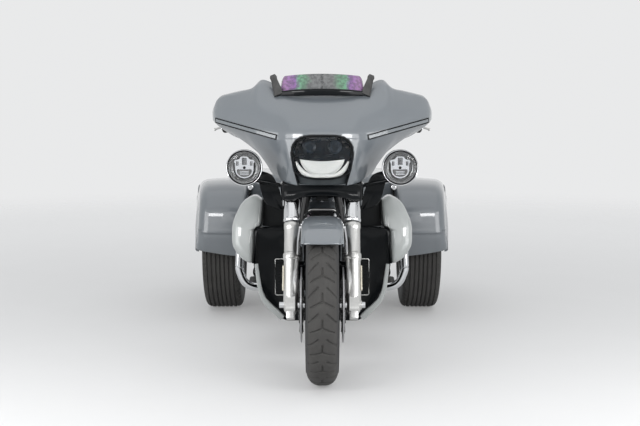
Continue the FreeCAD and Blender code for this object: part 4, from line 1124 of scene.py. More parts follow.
def chinPanel():
    # the dark plate under the lamp: its top follows the lamp's curve, its foot is nearly straight
    u = np.linspace(-1, 1, 61)[:, None]
    level = np.linspace(0, 1, 12)[None]
    lampLow = np.array(lampHalf[8:])[::-1] / 1000
    half = chinHalf(0.85 - 0.062 * level) - 0.003
    top = np.interp(np.abs(u) * 0.113, lampLow[:, 0], lampLow[:, 1]) + 0.004
    z = top + (0.7885 + 0.003 * u ** 2 - top) * level
    y = -0.9125 + 0.016 * level + 0.015 * u ** 2
    return grid(np.stack(np.broadcast_arrays(u * half, y, z), axis=-1))


def chinEdge(side):
    # the raised black line down each side of the plate
    z = np.linspace(0.852, 0.789, 12)
    line = np.stack((side * chinHalf(z), -0.908 + (0.852 - z) * 0.26, z), axis=1)
    return swept(line, roundBox(0.0022, 0.0095, 0.0012, 4), up=(0, 1, 0))


piece("chinPanel", chinPanel(), charcoal, "front_fork", thick=0.006)
piece("chinEdges", gather(chinEdge(1), chinEdge(-1)), gloss, "front_fork")
print("fairing and headlight made")


# passing lamps

passingSpec = {"radius": 0.074, "place": (0.316, -0.900, 0.859)}


def passingParts(spec, side):
    # a bright shell, a broad smoked band stepping in to the room behind the glass
    centre = np.array(spec["place"]) * (side, 1, 1)
    r = spec["radius"]
    shell = lathed(rounded([(0.010, r - 0.0045), (0.001, r - 0.0042), (0.000, r - 0.001), (0.004, r), (0.022, r),
                            (0.034, r - 0.008), (0.070, r - 0.030), (0.086, r - 0.046), (0.090, 0.0)], 0.002, 3),
                   centre, axis="Y", count=64)
    trim = lathed(rounded([(0.014, r - 0.0050), (0.0030, r - 0.0052), (0.0025, r - 0.0085), (0.0050, r - 0.0095)],
                          0.001, 3), centre, axis="Y", count=64)
    band = lathed(rounded([(0.005, r - 0.0090), (0.0065, r - 0.0165), (0.0045, r - 0.0175), (0.0050, r - 0.0200),
                           (0.0120, r - 0.0215), (0.0135, r - 0.0260), (0.030, r - 0.0270), (0.036, 0.0)],
                          0.0008, 3), centre, axis="Y", count=64)
    glass = lathed(rounded([(0.0065, r - 0.0095), (0.0035, r - 0.0100), (0.000, r * 0.6), (-0.002, r * 0.3),
                            (-0.0025, 0.0)], 0.004), centre, axis="Y", count=56)
    return shell, trim, glass, band


def optics(spec, side):
    # a bright mask, winged at its brows, with grey flutes; on it a darker bowl, black fins and an eye
    centre = np.array(spec["place"]) * (side, 1, 1) + (0, 0.012, 0)
    half = np.array(((0, 46), (14, 45), (22, 34), (49, 30), (44, 24), (38, 17), (38, -12), (33, -29),
                     (19, -41), (0, -46))) / 1000
    bowlHalf = np.array(((0, -8), (29, -7), (31, -14), (27, -27), (15, -36), (0, -39))) / 1000
    mask, low = [plate(rounded(np.concatenate((line, line[-2::-1] * (-1, 1))), 0.004, 4)[:-1], *levels,
                       edge=0.0012) for line, levels in ((half, (0.002, 0.012)), (bowlHalf, (0.0002, 0.004)))]
    slats = [(x, 0.016, 0.009) for x in (-0.031, -0.0255, 0.0255, 0.031)]
    slats += [(x, 0.025, 0.015) for x in (-0.0075, -0.0025, 0.0025, 0.0075)]
    fins = [plate(roundBox(0.0016, tall, 0.001, 3) + (x, z), -0.001, 0.004, "XZ", 0.0004) for x, z, tall in slats]
    eye = lathed([(-0.001, 0.0), (-0.001, 0.005), (0.002, 0.006), (0.004, 0.006)], (0, 0, -0.001),
                 axis="Y", count=24)
    flutes = copiesAt(plate(roundBox(0.018, 0.0014, 0.001, 3), -0.0008, 0.003, "XZ", 0.0004),
                      [(0, 0, z) for z in (-0.016, -0.022, -0.028)])
    return moved(gather(*fins, eye), centre), moved(gather(mask, flutes), centre), moved(low, centre)


def lampArm(side):
    # the stalk from the clamp under the fairing to the back of the lamp
    foot = onSteering(0.487, 0.050, side * 0.168)
    place = np.array(passingSpec["place"]) * (side, 1, 1)
    knots = np.array((foot, foot + (side * 0.05, -0.010, 0.012), place + (-side * 0.02, 0.070, -0.052),
                      place + (0, 0.062, -0.016)))
    return bentTube(knots, 0.0085, 0.022, 16)


def lampKnob(side):
    # a domed bolt head on a short post under the lamp
    place = np.array(passingSpec["place"]) * (side, 1, 1) + (-side * 0.024, 0.046, -0.081)
    head = lathed(rounded([(-0.010, 0.0), (-0.010, 0.009), (-0.003, 0.0135), (0.006, 0.0135), (0.009, 0.0)],
                          0.003, 5), place, axis="Y", count=28)
    return gather(head, bentTube((place, place + (0, 0.012, 0.012), place + (side * 0.004, 0.022, 0.030)),
                                 0.005, 0.008, 12))


made = [passingParts(passingSpec, side) for side in (1, -1)]
shells, trims, glasses, bands = [gather(*parts) for parts in zip(*made)]
piece("passingShells", gather(shells, lampKnob(1), lampKnob(-1)), chrome, "front_fork", ["passing_lamps"],
      sharp=38)
piece("passingTrims", gather(trims, lampArm(1), lampArm(-1)), gloss, "front_fork", sharp=30)
piece("passingBands", bands, gunmetal, "front_fork", sheet=True, sharp=30)
made = [optics(passingSpec, side) for side in (1, -1)]
fins, masks, lows = [gather(*parts) for parts in zip(*made)]
piece("passingFins", fins, plastic, "front_fork")
piece("passingMasks", masks, bowl, "front_fork")
piece("passingLows", lows, gunmetal, "front_fork")
piece("passingGlass", glasses, lens, "front_fork", sheet=True, thick=0.002, sharp=30)
print("passing lamps made")


# screen

screenSpec = {"half": (0.176, 0.170), "low": (-0.780, 1.150), "high": (-0.728, 1.2405), "bow": 0.030,
              "wall": 0.004}


def screenSheet(spec):
    # leans back as it rises and bows round the front; the top edge falls to rounded corners
    u = np.linspace(-1, 1, 81)[:, None]
    v = np.linspace(0, 1, 24)[None]
    half = spec["half"][0] + (spec["half"][1] - spec["half"][0]) * v
    fall = 0.010 * u ** 2 * v + 0.020 * np.clip((np.abs(u) - 0.90) / 0.10, 0, 1) ** 2.2 * v
    z = spec["low"][1] + (spec["high"][1] - spec["low"][1]) * v - fall
    y = spec["low"][0] + (spec["high"][0] - spec["low"][0]) * v
    y = y + spec["bow"] * u ** 2 - 0.006 * np.sin(math.pi * v)
    return grid(np.stack(np.broadcast_arrays(u * half, y, z), axis=-1))


piece("screenSheet", screenSheet(screenSpec), screen, "front_fork", ["windshield"], thick=screenSpec["wall"])


def screenTrim():
    # a dark lip along the foot of the screen, thick in the middle, its ends falling and swept back
    t = np.linspace(-1, 1, 61)
    line = np.stack((t * 0.184, -0.792 + 0.040 * np.abs(t) ** 2.2, 1.1635 - 0.0055 * t ** 2), axis=1)
    return swept(line, roundBox(0.011, 0.0145, 0.008, 6), scale=1.0 - 0.40 * np.abs(t) ** 2.5)


def screenMount(side):
    # a thick blade at each end of the screen, wide at its foot and leaning out to a round knob
    t = np.linspace(0, 1, 22)
    line = np.stack((side * (0.178 + 0.029 * t), -0.762 + 0.054 * t, 1.150 + 0.084 * t), axis=1)
    width = 1.15 - 0.55 * t + 0.16 * np.exp(-((t - 0.90) / 0.07) ** 2)
    return swept(line, roundBox(0.0185, 0.0085, 0.007, 6), scale=width, up=(0, 1, 0.2))


def mountStuds():
    # two bolt heads in the lip's front
    return bothSides(lathed([(-0.803, 0.0), (-0.803, 0.0045), (-0.790, 0.0045)], (-0.125, 0.0225, 1.166),
                            axis="Y", count=14))


piece("screenTrim", gather(screenTrim(), mountStuds()), gloss, "front_fork", ["windshield_trim"], sharp=50)
piece("screenMounts", gather(screenMount(1), screenMount(-1)), smoked, "front_fork",
      sharp=50)
print("screen made")


# skirt and deflectors under the fairing

def forkSkirt():
    # one wall bent round the fork in plan, its foot arched up in the middle
    plan = curve(((-171, -702), (-173, -790), (-166, -850), (-120, -868), (0, -873), (120, -868), (166, -850),
                  (173, -790), (171, -702)), 81)[:, None] / 1000
    level = np.linspace(0, 1, 14)[None]
    arch = 0.022 * np.clip(1 - (np.abs(plan[..., 0]) / 0.125) ** 2.5, 0, 1)
    foot = 0.722 + arch
    z = 0.788 + (foot - 0.788) * level
    tuck = 0.010 * np.sin(math.pi * level)
    y = plan[..., 1] + tuck * (plan[..., 1] < -0.84)
    return grid(np.stack(np.broadcast_arrays(plan[..., 0] * (1 - 0.03 * level), y, z), axis=-1))


def deflector():
    # a smoked blade beside the fork: rounded corners, bowed forward
    outline = np.array(((168, 680), (206, 686), (237, 706), (253, 750), (266, 806), (261, 836), (214, 824),
                        (190, 790), (172, 740))) / 1000
    line = evenly(curve(outline, 90, closed=True), 60)
    points, quads = plate(line, -0.772, -0.765, "XZ", 0.002)
    bow = 0.014 * np.sin(math.pi * np.clip((points[:, 2:] - 0.68) / 0.16, 0, 1))
    return points - np.concatenate((0 * bow, bow, 0 * bow), axis=1), quads


piece("forkSkirt", forkSkirt(), gloss, "front_fork", ["fairing_skirt"], thick=0.004)
piece("deflectors", bothSides(deflector()), gloss, "front_fork")


# the rider's side of the fairing

dashSpec = {"across": 161, "down": 45, "lip": 0.006, "wellHalf": 0.212, "wellTop": 1.062, "wellDeep": 0.085}


def dashPanel(spec):
    # hung from the fairing's rear edge, leaning back to a flat face, with a well for the clamps and the bar
    u = np.linspace(-netMiddle, netMiddle, spec["across"])
    top = fairingAt(u, np.array([0.0]))[:, 0]
    x = top[:, :1] * 0.985
    foot = np.interp(np.abs(x), (0, 0.26, 0.33, 0.40, 0.45), (0.905, 0.905, 0.962, 0.998, 1.026))
    level = np.linspace(0, 1, spec["down"])[None]
    z = top[:, 2:] - spec["lip"] + (foot - top[:, 2:] + spec["lip"]) * level
    face = np.interp(np.abs(x), (0, 0.30, 0.45), (-0.648, -0.628, -0.596))
    y = top[:, 1:2] + (face - top[:, 1:2]) * np.clip(level * 3.2, 0, 1) ** 0.6
    inWell = np.clip((spec["wellHalf"] - np.abs(x)) / 0.014, 0, 1) * np.clip((spec["wellTop"] - z) / 0.014, 0, 1)
    return grid(np.stack(np.broadcast_arrays(x, y - spec["wellDeep"] * inWell, z), axis=-1))


piece("dashPanel", dashPanel(dashSpec), plastic, "front_fork", ["fairing_inner"], sheet=True, thick=0.004,
      sharp=32)

# dials: x, z, radius
dialTable = ((0.146, 1.112, 0.034), (-0.146, 1.112, 0.034), (0.222, 1.128, 0.024), (-0.222, 1.128, 0.024))
speakerSpec = {"x": 0.335, "y": -0.620, "z": 1.088}


def dial(x, z, radius):
    # bezel, face, fourteen marks and a needle, all facing the rider
    y = -0.636
    bezel = lathed(rounded([(y - 0.012, radius + 0.004), (y + 0.006, radius + 0.004), (y + 0.010, radius + 0.001),
                            (y + 0.006, radius - 0.003), (y, radius - 0.004)], 0.002), (x, 0, z),
                   axis="Y", count=48)
    face = lathed([(y, radius - 0.003), (y + 0.001, 0.0)], (x, 0, z), axis="Y", count=32)
    mark = plate(roundBox(0.0007, 0.0026, 0.0004, 2) + (0, radius - 0.008), y + 0.0008, y + 0.0018, "XZ", 0.0002)
    marks = moved(copiesAround(mark, np.radians(np.arange(-130, 131, 20)), axis=(0, 1, 0)), (x, 0, z))
    needle = plate(roundBox(0.0009, radius * 0.36, 0.0006, 2) + (0, radius * 0.30), y + 0.002,
                   y + 0.003, "XZ", 0.0002)
    needle = moved(turnedShape(needle, -118, (0, 1, 0)), (x, 0, z))
    hub = lathed([(y + 0.001, 0.004), (y + 0.0045, 0.004), (y + 0.005, 0.0)], (x, 0, z), axis="Y", count=16)
    return bezel, gather(face, hub), gather(marks, needle)


dials = [gather(*parts) for parts in zip(*[dial(*row) for row in dialTable])]
piece("dialBezels", dials[0], chrome, "front_fork")
piece("dialFaces", dials[1], gloss, "front_fork")
piece("dialMarks", dials[2], guide, "front_fork")


def speaker(side, spec):
    # a rounded rim with a domed grille of rings and spokes
    centre = (side * spec["x"], spec["y"], spec["z"])
    rim = lathed(rounded([(-0.012, 0.060), (0.006, 0.060), (0.010, 0.055), (0.004, 0.050), (-0.004, 0.049)], 0.003),
                 centre, axis="Y", count=48)
    rings = [lathed([(-0.001 + d, r), (0.002 + d, r), (0.002 + d, r + 0.0018), (-0.001 + d, r + 0.0018),
                     (-0.001 + d, r)], centre, axis="Y", count=40)
             for r, d in ((0.010, 0.0046), (0.020, 0.0040), (0.030, 0.0028), (0.040, 0.0010))]
    spoke = plate(roundBox(0.0011, 0.047, 0.0006, 2), 0.0, 0.0025, "XZ", 0.0003)
    spokes = moved(copiesAround(spoke, np.radians((0, 45, 90, 135)), axis=(0, 1, 0)), centre)
    cone = lathed([(-0.004, 0.049), (-0.016, 0.024), (-0.012, 0.0)], centre, axis="Y", count=40)
    return rim, gather(*rings, spokes), cone


speakers = [gather(*parts) for parts in zip(*[speaker(side, speakerSpec) for side in (1, -1)])]
piece("speakerRims", speakers[0], gloss, "front_fork")
piece("speakerGrilles", speakers[1], plastic, "front_fork")
piece("speakerCones", speakers[2], rubber, "front_fork", sheet=True)

display = plate(roundBox(0.098, 0.036, 0.010, 6) + (0, 1.112), -0.648, -0.632, "XZ", 0.003)
glassFace = plate(roundBox(0.091, 0.030, 0.006, 6) + (0, 1.112), -0.6325, -0.6305, "XZ", 0.0006)
keys = copiesAt(plate(roundBox(0.014, 0.005, 0.003, 4), -0.648, -0.640, "XZ", 0.001),
                [(x, 0, 1.0735) for x in (-0.072, -0.036, 0.0, 0.036, 0.072)])
piece("displayFrame", gather(display, keys), plastic, "front_fork")
piece("displayGlass", glassFace, gloss, "front_fork")
print("dash made")


# grips, levers, switches and mirrors

barBend, barEnd = np.array((0.300, -0.540, 1.040)), np.array((0.438, -0.396, 1.004))
barAlong = (barEnd - barBend) / np.linalg.norm(barEnd - barBend)
barAhead = np.array((barAlong[1], -barAlong[0], 0.0)) / np.hypot(barAlong[0], barAlong[1])
barUp = np.cross(barAhead, barAlong)


def onBar(shape):
    # from a frame that runs (along the grip, ahead, up) with its zero at the bar's end
    points, quads = shape
    place = np.stack((barAlong, barAhead, barUp * np.sign(barUp[2])))
    return points @ place + barEnd, quads


def grip():
    # grooved rubber between two smooth collars, with a bright end cap
    at = np.linspace(-0.118, -0.006, 141)
    out = 0.0182 + 0.0011 * np.clip(np.sin((at + 0.118) / 0.112 * 14 * 2 * math.pi) * 3, -1, 1)
    core = np.column_stack((at, out))
    body = lathed(np.concatenate(([(-0.120, 0.014), (-0.120, 0.0195)], core, [(-0.004, 0.0190), (-0.003, 0.0145)])),
                  (0, 0, 0), count=40)
    cap = lathed(rounded([(-0.004, 0.0150), (0.000, 0.0188), (0.003, 0.0160), (0.0035, 0.0)], 0.0015),
                 (0, 0, 0), count=32)
    return onBar(body), onBar(cap)


def lever():
    # a flat blade that tapers to a ball, hung ahead of the grip on a pivot
    line = curve(((-0.172, 0.030, 0.004), (-0.150, 0.046, 0.004), (-0.090, 0.055, 0.003), (-0.030, 0.050, 0.001),
                  (0.008, 0.047, 0.000)), 36)
    blade = swept(line, roundBox(0.0065, 0.0042, 0.003, 4), scale=np.linspace(1.15, 0.85, 36))
    ball = lathed([(0.004, 0.0), (0.006, 0.005), (0.010, 0.0068), (0.014, 0.005), (0.016, 0.0)],
                  (0, 0.047, 0.0), count=20)
    pivot = lathed([(-0.011, 0.0), (-0.011, 0.009), (0.011, 0.009), (0.011, 0.0)], (-0.160, 0.036, 0.004),
                   axis="Z", count=24)
    return onBar(gather(blade, ball, pivot))


def switchPod():
    # the switch housing just inboard of the grip, the lever's perch and fluid tank, and five buttons
    # towards the rider
    pod = swept(np.column_stack((np.linspace(-0.176, -0.124, 14), np.zeros(14), np.zeros(14))),
                roundBox(0.0215, 0.0235, 0.012, 6), scale=1 - 0.14 * np.abs(np.linspace(-1, 1, 14)) ** 6)
    perch = swept(curve(((-0.160, 0.016, 0.002), (-0.160, 0.028, 0.004), (-0.160, 0.042, 0.004)), 12),
                  roundBox(0.013, 0.008, 0.004, 4))
    tank = plate(roundBox(0.026, 0.014, 0.006, 5) + (-0.156, 0.034), 0.014, 0.030, "XY", 0.003)
    buttons = gather(*[plate(roundBox(0.0055, 0.0038, 0.0015, 3) + (x, z), -0.0268, -0.0215, "XZ", 0.0008)
                       for x, z in ((-0.162, 0.008), (-0.148, 0.008), (-0.134, 0.006), (-0.155, -0.006),
                                    (-0.141, -0.007))])
    return onBar(gather(pod, perch, tank)), onBar(buttons)


gripRubberShape, gripCap = grip()
pods, buttons = switchPod()
piece("grips", bothSides(gripRubberShape), rubber, "front_fork", ["hand_controls"])
piece("gripCaps", bothSides(gripCap), chrome, "front_fork")
piece("levers", bothSides(lever()), aluminium, "front_fork")
piece("switchPods", bothSides(pods), gloss, "front_fork")
piece("switchButtons", bothSides(buttons), plastic, "front_fork")

mirrorSpec = {"inboard": 0.210, "rise": (0.026, -0.006, 0.046), "middle": (0.020, 0.0, 0.020)}


def mirrorParts(spec):
    # a rounded leaf on a bent stalk: shell bulging forward, rim, and glass facing the rider
    foot = barEnd - barAlong * spec["inboard"] + (0, 0, 0.013)
    head = foot + np.array(spec["rise"])
    centre = head + np.array(spec["middle"])
    stalk = bentTube((foot, foot + (0.006, -0.004, 0.022), head + (0.006, -0.010, -0.002), centre + (0, -0.004, 0)),
                     0.0052, 0.008, 14)
    nut = lathed(rounded([(-0.004, 0.0), (-0.004, 0.0095), (0.012, 0.0095), (0.016, 0.0055)], 0.002), foot,
                 axis="Z", count=24)
    leaf = evenly(curve(np.array(((-72, -10), (-66, -28), (-20, -33), (44, -33), (76, -26), (80, 6), (66, 28),
                                  (10, 33), (-52, 30), (-70, 14))) / 1000, 120, closed=True), 72)
    rings = [(1.0, 0.0075), (1.0, 0.002), (0.985, -0.003), (0.93, -0.010), (0.80, -0.017), (0.55, -0.022),
             (0.25, -0.024), (0.0, -0.0245)]
    rim = [(0.955, 0.0045), (0.965, 0.0075), (1.0, 0.0075)]
    shell = grid(np.stack([np.insert(leaf * k, 1, y, axis=1) for k, y in rim + rings[1:]]), closeV=True)
    pane = [(0.957, 0.005), (0.5, 0.0052), (0.0, 0.0052)]
    glass = grid(np.stack([np.insert(leaf * k, 1, y, axis=1) for k, y in pane]), closeV=True)
    return gather(stalk, nut), moved(shell, centre), moved(glass, centre)


stalks, shells, glasses = mirrorParts(mirrorSpec)
piece("mirrorStalks", bothSides(stalks), gloss, "front_fork", ["mirrors"])
piece("mirrorShells", bothSides(shells), gloss, "front_fork", sheet=True, thick=0.001)
piece("mirrorGlass", bothSides(glasses), bowl, "front_fork", sheet=True, thick=0.001)


# bits seen between the fork legs

def forkBits():
    # a bright bent pipe and two hose ends in front of the steering head, all moving with the fork
    pipe = bentTube((onSteering(0.36, 0.030, -0.070), onSteering(0.375, 0.062, -0.050),
                     onSteering(0.375, 0.062, 0.050), onSteering(0.36, 0.030, 0.070)), 0.0065, 0.018, 16)
    hoses = gather(*[swept(curve((onSteering(0.47, 0.035, side * 0.045), onSteering(0.40, 0.058, side * 0.058),
                                  onSteering(0.31, 0.048, side * 0.075), onSteering(0.22, 0.020, side * 0.112)),
                                 40), ring(0.0052, 12)) for side in (1, -1)])
    block = moved(plate(roundBox(0.026, 0.016, 0.005, 5), -0.012, 0.012, "XZ", 0.003), onSteering(0.435, 0.052))
    bolts = gather(*[lathed([(-0.018, 0.0), (-0.018, 0.006), (-0.008, 0.006)], onSteering(0.435, 0.052, x),
                            axis="Y", count=6) for x in (-0.016, 0.016)])
    return pipe, gather(hoses, block, bolts)


brightBits, darkBits = forkBits()
piece("forkPipe", brightBits, gunmetal, "front_fork")
piece("forkHoses", darkBits, plastic, "front_fork")
print("cockpit made")


# radiator shroud, lower fairings and guards

def polarOutline(corners, centre, count=160, radius=0.006):
    # a closed polygon with rounded corners, read at even angles so that outlines match point by point
    p = np.asarray(corners, float)
    closed = rounded(np.concatenate((p[-1:], p, p[:1])), radius, 9)[1:-1] - centre
    share = np.linspace(0, 1, 24, endpoint=False)[:, None, None]
    dense = (closed + (np.roll(closed, -1, 0) - closed) * share).reshape(-1, 2)
    angle = np.arctan2(dense[:, 1], dense[:, 0])
    order = np.argsort(angle)
    a = np.linspace(-math.pi, math.pi, count, endpoint=False)
    reach = np.interp(a, angle[order], np.linalg.norm(dense, axis=1)[order], period=2 * math.pi)
    return np.stack((np.cos(a), np.sin(a)), axis=1) * reach[:, None] + centre


shroudHalf = ((166, 177), (238, 262), (288, 380), (298, 426), (291, 580), (160, 592))
shroudOuter = np.array(shroudHalf + tuple((-x, z) for x, z in shroudHalf[::-1])) / 1000
shroudWindow = np.array(((134, 254), (134, 544), (-134, 544), (-134, 254))) / 1000
shroudMiddle = np.array((0.0, 0.395))


def shroudShell():
    # a dished frame round the radiator: outer wall, front face with raised rims, and walls to the core
    outer = polarOutline(shroudOuter, shroudMiddle, 200, 0.020)
    window = polarOutline(shroudWindow, shroudMiddle, 200, 0.014)
    between = [window * (1 - k) + outer * k for k in (0.95, 0.86, 0.55, 0.20, 0.12)]
    rows = [(1.0, -0.594), (1.0, -0.630), (0.994, -0.638), (1.0, -0.642), (1.0, -0.638), (1.0, -0.634),
            (1.0, -0.636), (1.0, -0.642), (1.0, -0.641), (1.0, -0.632), (1.0, -0.600), (0.990, -0.594)]
    return stacked(np.stack([outer] * 3 + between + [window] * 3 + [outer]), rows, shroudMiddle, "XZ")


def shroudVents():
    # the raised bracket-shaped lip of a vent at each side
    path = np.array(((0.160, -0.645, 0.450), (0.203, -0.643, 0.450), (0.203, -0.643, 0.292),
                     (0.160, -0.645, 0.292)))
    return bothSides(bentTube(path, 0.0022, 0.010, 10))


def ventSlats():
    # ten flat slats behind each lip
    slat = plate(roundBox(0.018, 0.0022, 0.0015, 3), -0.640, -0.632, "XZ", 0.0006)
    return bothSides(copiesAt(slat, [(0.178, 0, z) for z in np.linspace(0.305, 0.437, 10)]))


piece("shroudShell", shroudShell(), gloss, "chassis", ["radiator_shroud"], sharp=32)
piece("shroudVents", shroudVents(), aluminium)
piece("shroudSlats", ventSlats(), plastic)


def radiatorParts():
    # the core, a tank at each side, a frame and a guard of thin bars in front
    block = plate(roundBox(0.118, 0.142, 0.004, 4) + (0, 0.398), -0.630, -0.606, "XZ", 0.001)
    tanks = bothSides(plate(roundBox(0.009, 0.146, 0.006, 5) + (0.127, 0.398), -0.633, -0.602, "XZ", 0.003))
    rails = copiesAt(plate(roundBox(0.120, 0.005, 0.002, 4), -0.632, -0.604, "XZ", 0.001),
                     [(0, 0, 0.255), (0, 0, 0.541)])
    bars = gather(*[copiesAt(plate(roundBox(0.0012, 0.140, 0.0008, 3) + (0, 0.398), -0.640, -0.637, "XZ", 0.0004),
                             [(x, 0, 0) for x in np.linspace(-0.110, 0.110, 12)]),
                    copiesAt(plate(roundBox(0.120, 0.0012, 0.0008, 3), -0.637, -0.634, "XZ", 0.0004),
                             [(0, 0, z) for z in np.linspace(0.28, 0.52, 6)])])
    cap = lathed(rounded([(0.541, 0.0), (0.541, 0.018), (0.553, 0.018), (0.555, 0.014), (0.556, 0.0)], 0.002),
                 (0.06, -0.618, 0), axis="Z", count=32)
    return block, gather(tanks, rails, cap), bars


block, tanks, bars = radiatorParts()
piece("radiatorCore", block, core, "chassis", ["radiator"])
piece("radiatorTanks", tanks, wrinkle)
piece("radiatorGuard", bars, plastic)

lowerHalf = ((262, 590), (258, 694), (292, 719), (346, 690), (388, 600), (387, 500), (346, 448),
             (302, 426), (292, 580))
lowerMiddle = np.array((0.330, 0.570))
scoopBack = -0.504


def scoopShare(z):
    # the scoop's depth at a height, as a share of its depth at the foot
    return 1 - 0.46 * (z - 0.426) / 0.293


def lowerShell():
    # a scoop with a softly domed face, a rolled edge and a side wall; its depth shrinks with height, so
    # the face leans back
    outline = polarOutline(np.array(lowerHalf) / 1000, lowerMiddle, 240, 0.036)
    rows = [(1.0, -0.504), (1.0, -0.560), (1.0, -0.618), (0.992, -0.629), (0.972, -0.637), (0.935, -0.6435),
            (0.80, -0.655), (0.60, -0.662), (0.35, -0.6645), (0.0, -0.665)]
    points, quads = stacked(outline, rows, lowerMiddle, "XZ")
    points[:, 1] = scoopBack + (points[:, 1] - scoopBack) * scoopShare(points[:, 2])
    return points, quads


# the strip that carries the scoop's edge down beside the shroud, in the lighter copy of the paint (painted light):
# (x, z, half width) in millimetres
hemTable = ((284, 428, 8), (277, 372, 9), (269, 318, 10), (254, 276, 11), (228, 244, 13), (198, 216, 14),
            (172, 190, 13))


def lowerHem():
    # the table's curve read evenly, its third column the strip's half width
    at = evenly(curve(np.array(hemTable) / 1000, 60), 48)
    line = np.column_stack((at[:, 0], np.full(48, -0.640), at[:, 1]))
    return swept(line, roundBox(1.0, 0.55, 0.4, 5), scale=at[:, 2], up=(0, -1, 0))


def lowerLiner():
    # the dark upright strip along the inner edge and the panel that joins it to the frame
    line = curve(((0.300, -0.640, 0.430), (0.293, -0.648, 0.500), (0.291, -0.650, 0.575), (0.266, -0.650, 0.592),
                  (0.259, -0.648, 0.640), (0.256, -0.640, 0.700)), 40)
    line[:, 1] = scoopBack + (line[:, 1] - scoopBack) * scoopShare(line[:, 2])
    strip = swept(line, roundBox(0.004, 0.012, 0.003, 4), up=(0, 1, 0))
    corners = np.array(((150, 585), (262, 585), (258, 700), (206, 700), (150, 660))) / 1000
    panel = plate(polarOutline(corners, corners.mean(0), 80, 0.010), -0.584, -0.572, "XZ", 0.003)
    return gather(strip, panel)


def lowerVent():
    # a row of slats let into the back of the scoop's face, seen beside the leg
    slat = plate(roundBox(0.030, 0.0028, 0.002, 3), -0.560, -0.552, "XZ", 0.0008)
    frameRing = swept(np.insert(roundBox(0.040, 0.075, 0.020, 8), 1, -0.556, axis=1)[np.r_[0:32, 0]]
                      + (0.322, 0, 0.575), roundBox(0.004, 0.006, 0.002, 3), up=(0, 1, 0), ends=False)
    return gather(copiesAt(slat, [(0.322, 0, z) for z in np.linspace(0.515, 0.635, 9)]), frameRing)


# the scoop and its hem take the lighter copy of the paint: painted light
for side, name in ((1, "left"), (-1, "right")):
    piece(name + "LowerShell", onSide(side, lowerShell()), litCopyPaint, "chassis", [name + "_lower_fairing"],
          sheet=True, thick=0.004)
    piece(name + "LowerHem", onSide(side, lowerHem()), litCopyPaint)
    piece(name + "LowerLiner", onSide(side, gather(lowerLiner(), lowerVent())), plastic)

guardKnots = ((0.096, -0.566, 0.560), (0.240, -0.470, 0.655), (0.352, -0.468, 0.640), (0.366, -0.466, 0.500),
              (0.372, -0.466, 0.376), (0.344, -0.464, 0.300), (0.250, -0.448, 0.290), (0.146, -0.420, 0.270))
guard = bentTube(guardKnots, 0.018, 0.072, 24)
collars = gather(*[lathed(rounded([(-0.012, 0.0), (-0.012, 0.021), (0.012, 0.021), (0.012, 0.0)], 0.003),
                          place, count=28) for place in (guardKnots[0], guardKnots[-1])])
piece("engineGuards", bothSides(gather(guard, collars)), chrome, "chassis", ["engine_guard"])
print("shroud, lower fairings and guards made")


# rear fenders

# the crown's run from the front foot over the top to the tail: (y, z) in millimetres
fenderCrown = ((226, 334), (214, 388), (206, 446), (207, 516), (222, 588), (262, 646), (330, 684), (430, 702),
               (540, 706), (654, 703), (770, 696), (880, 687), (980, 676), (1080, 660), (1165, 631), (1228, 588),
               (1262, 534), (1270, 480), (1258, 430), (1234, 399))
# half width of the side at stations along the vehicle, in millimetres
fenderWide = ((206, 642), (300, 653), (500, 676), (654, 688), (800, 691), (1000, 688), (1270, 668))
wheelMiddle = rearAxle[1:]
rearFenderSpec = {"inner": 0.394, "lean": 0.022, "arch": 0.350, "roll": 0.055, "along": 280, "wall": 0.004,
                  "slope": 0.034, "ridge": 0.007}


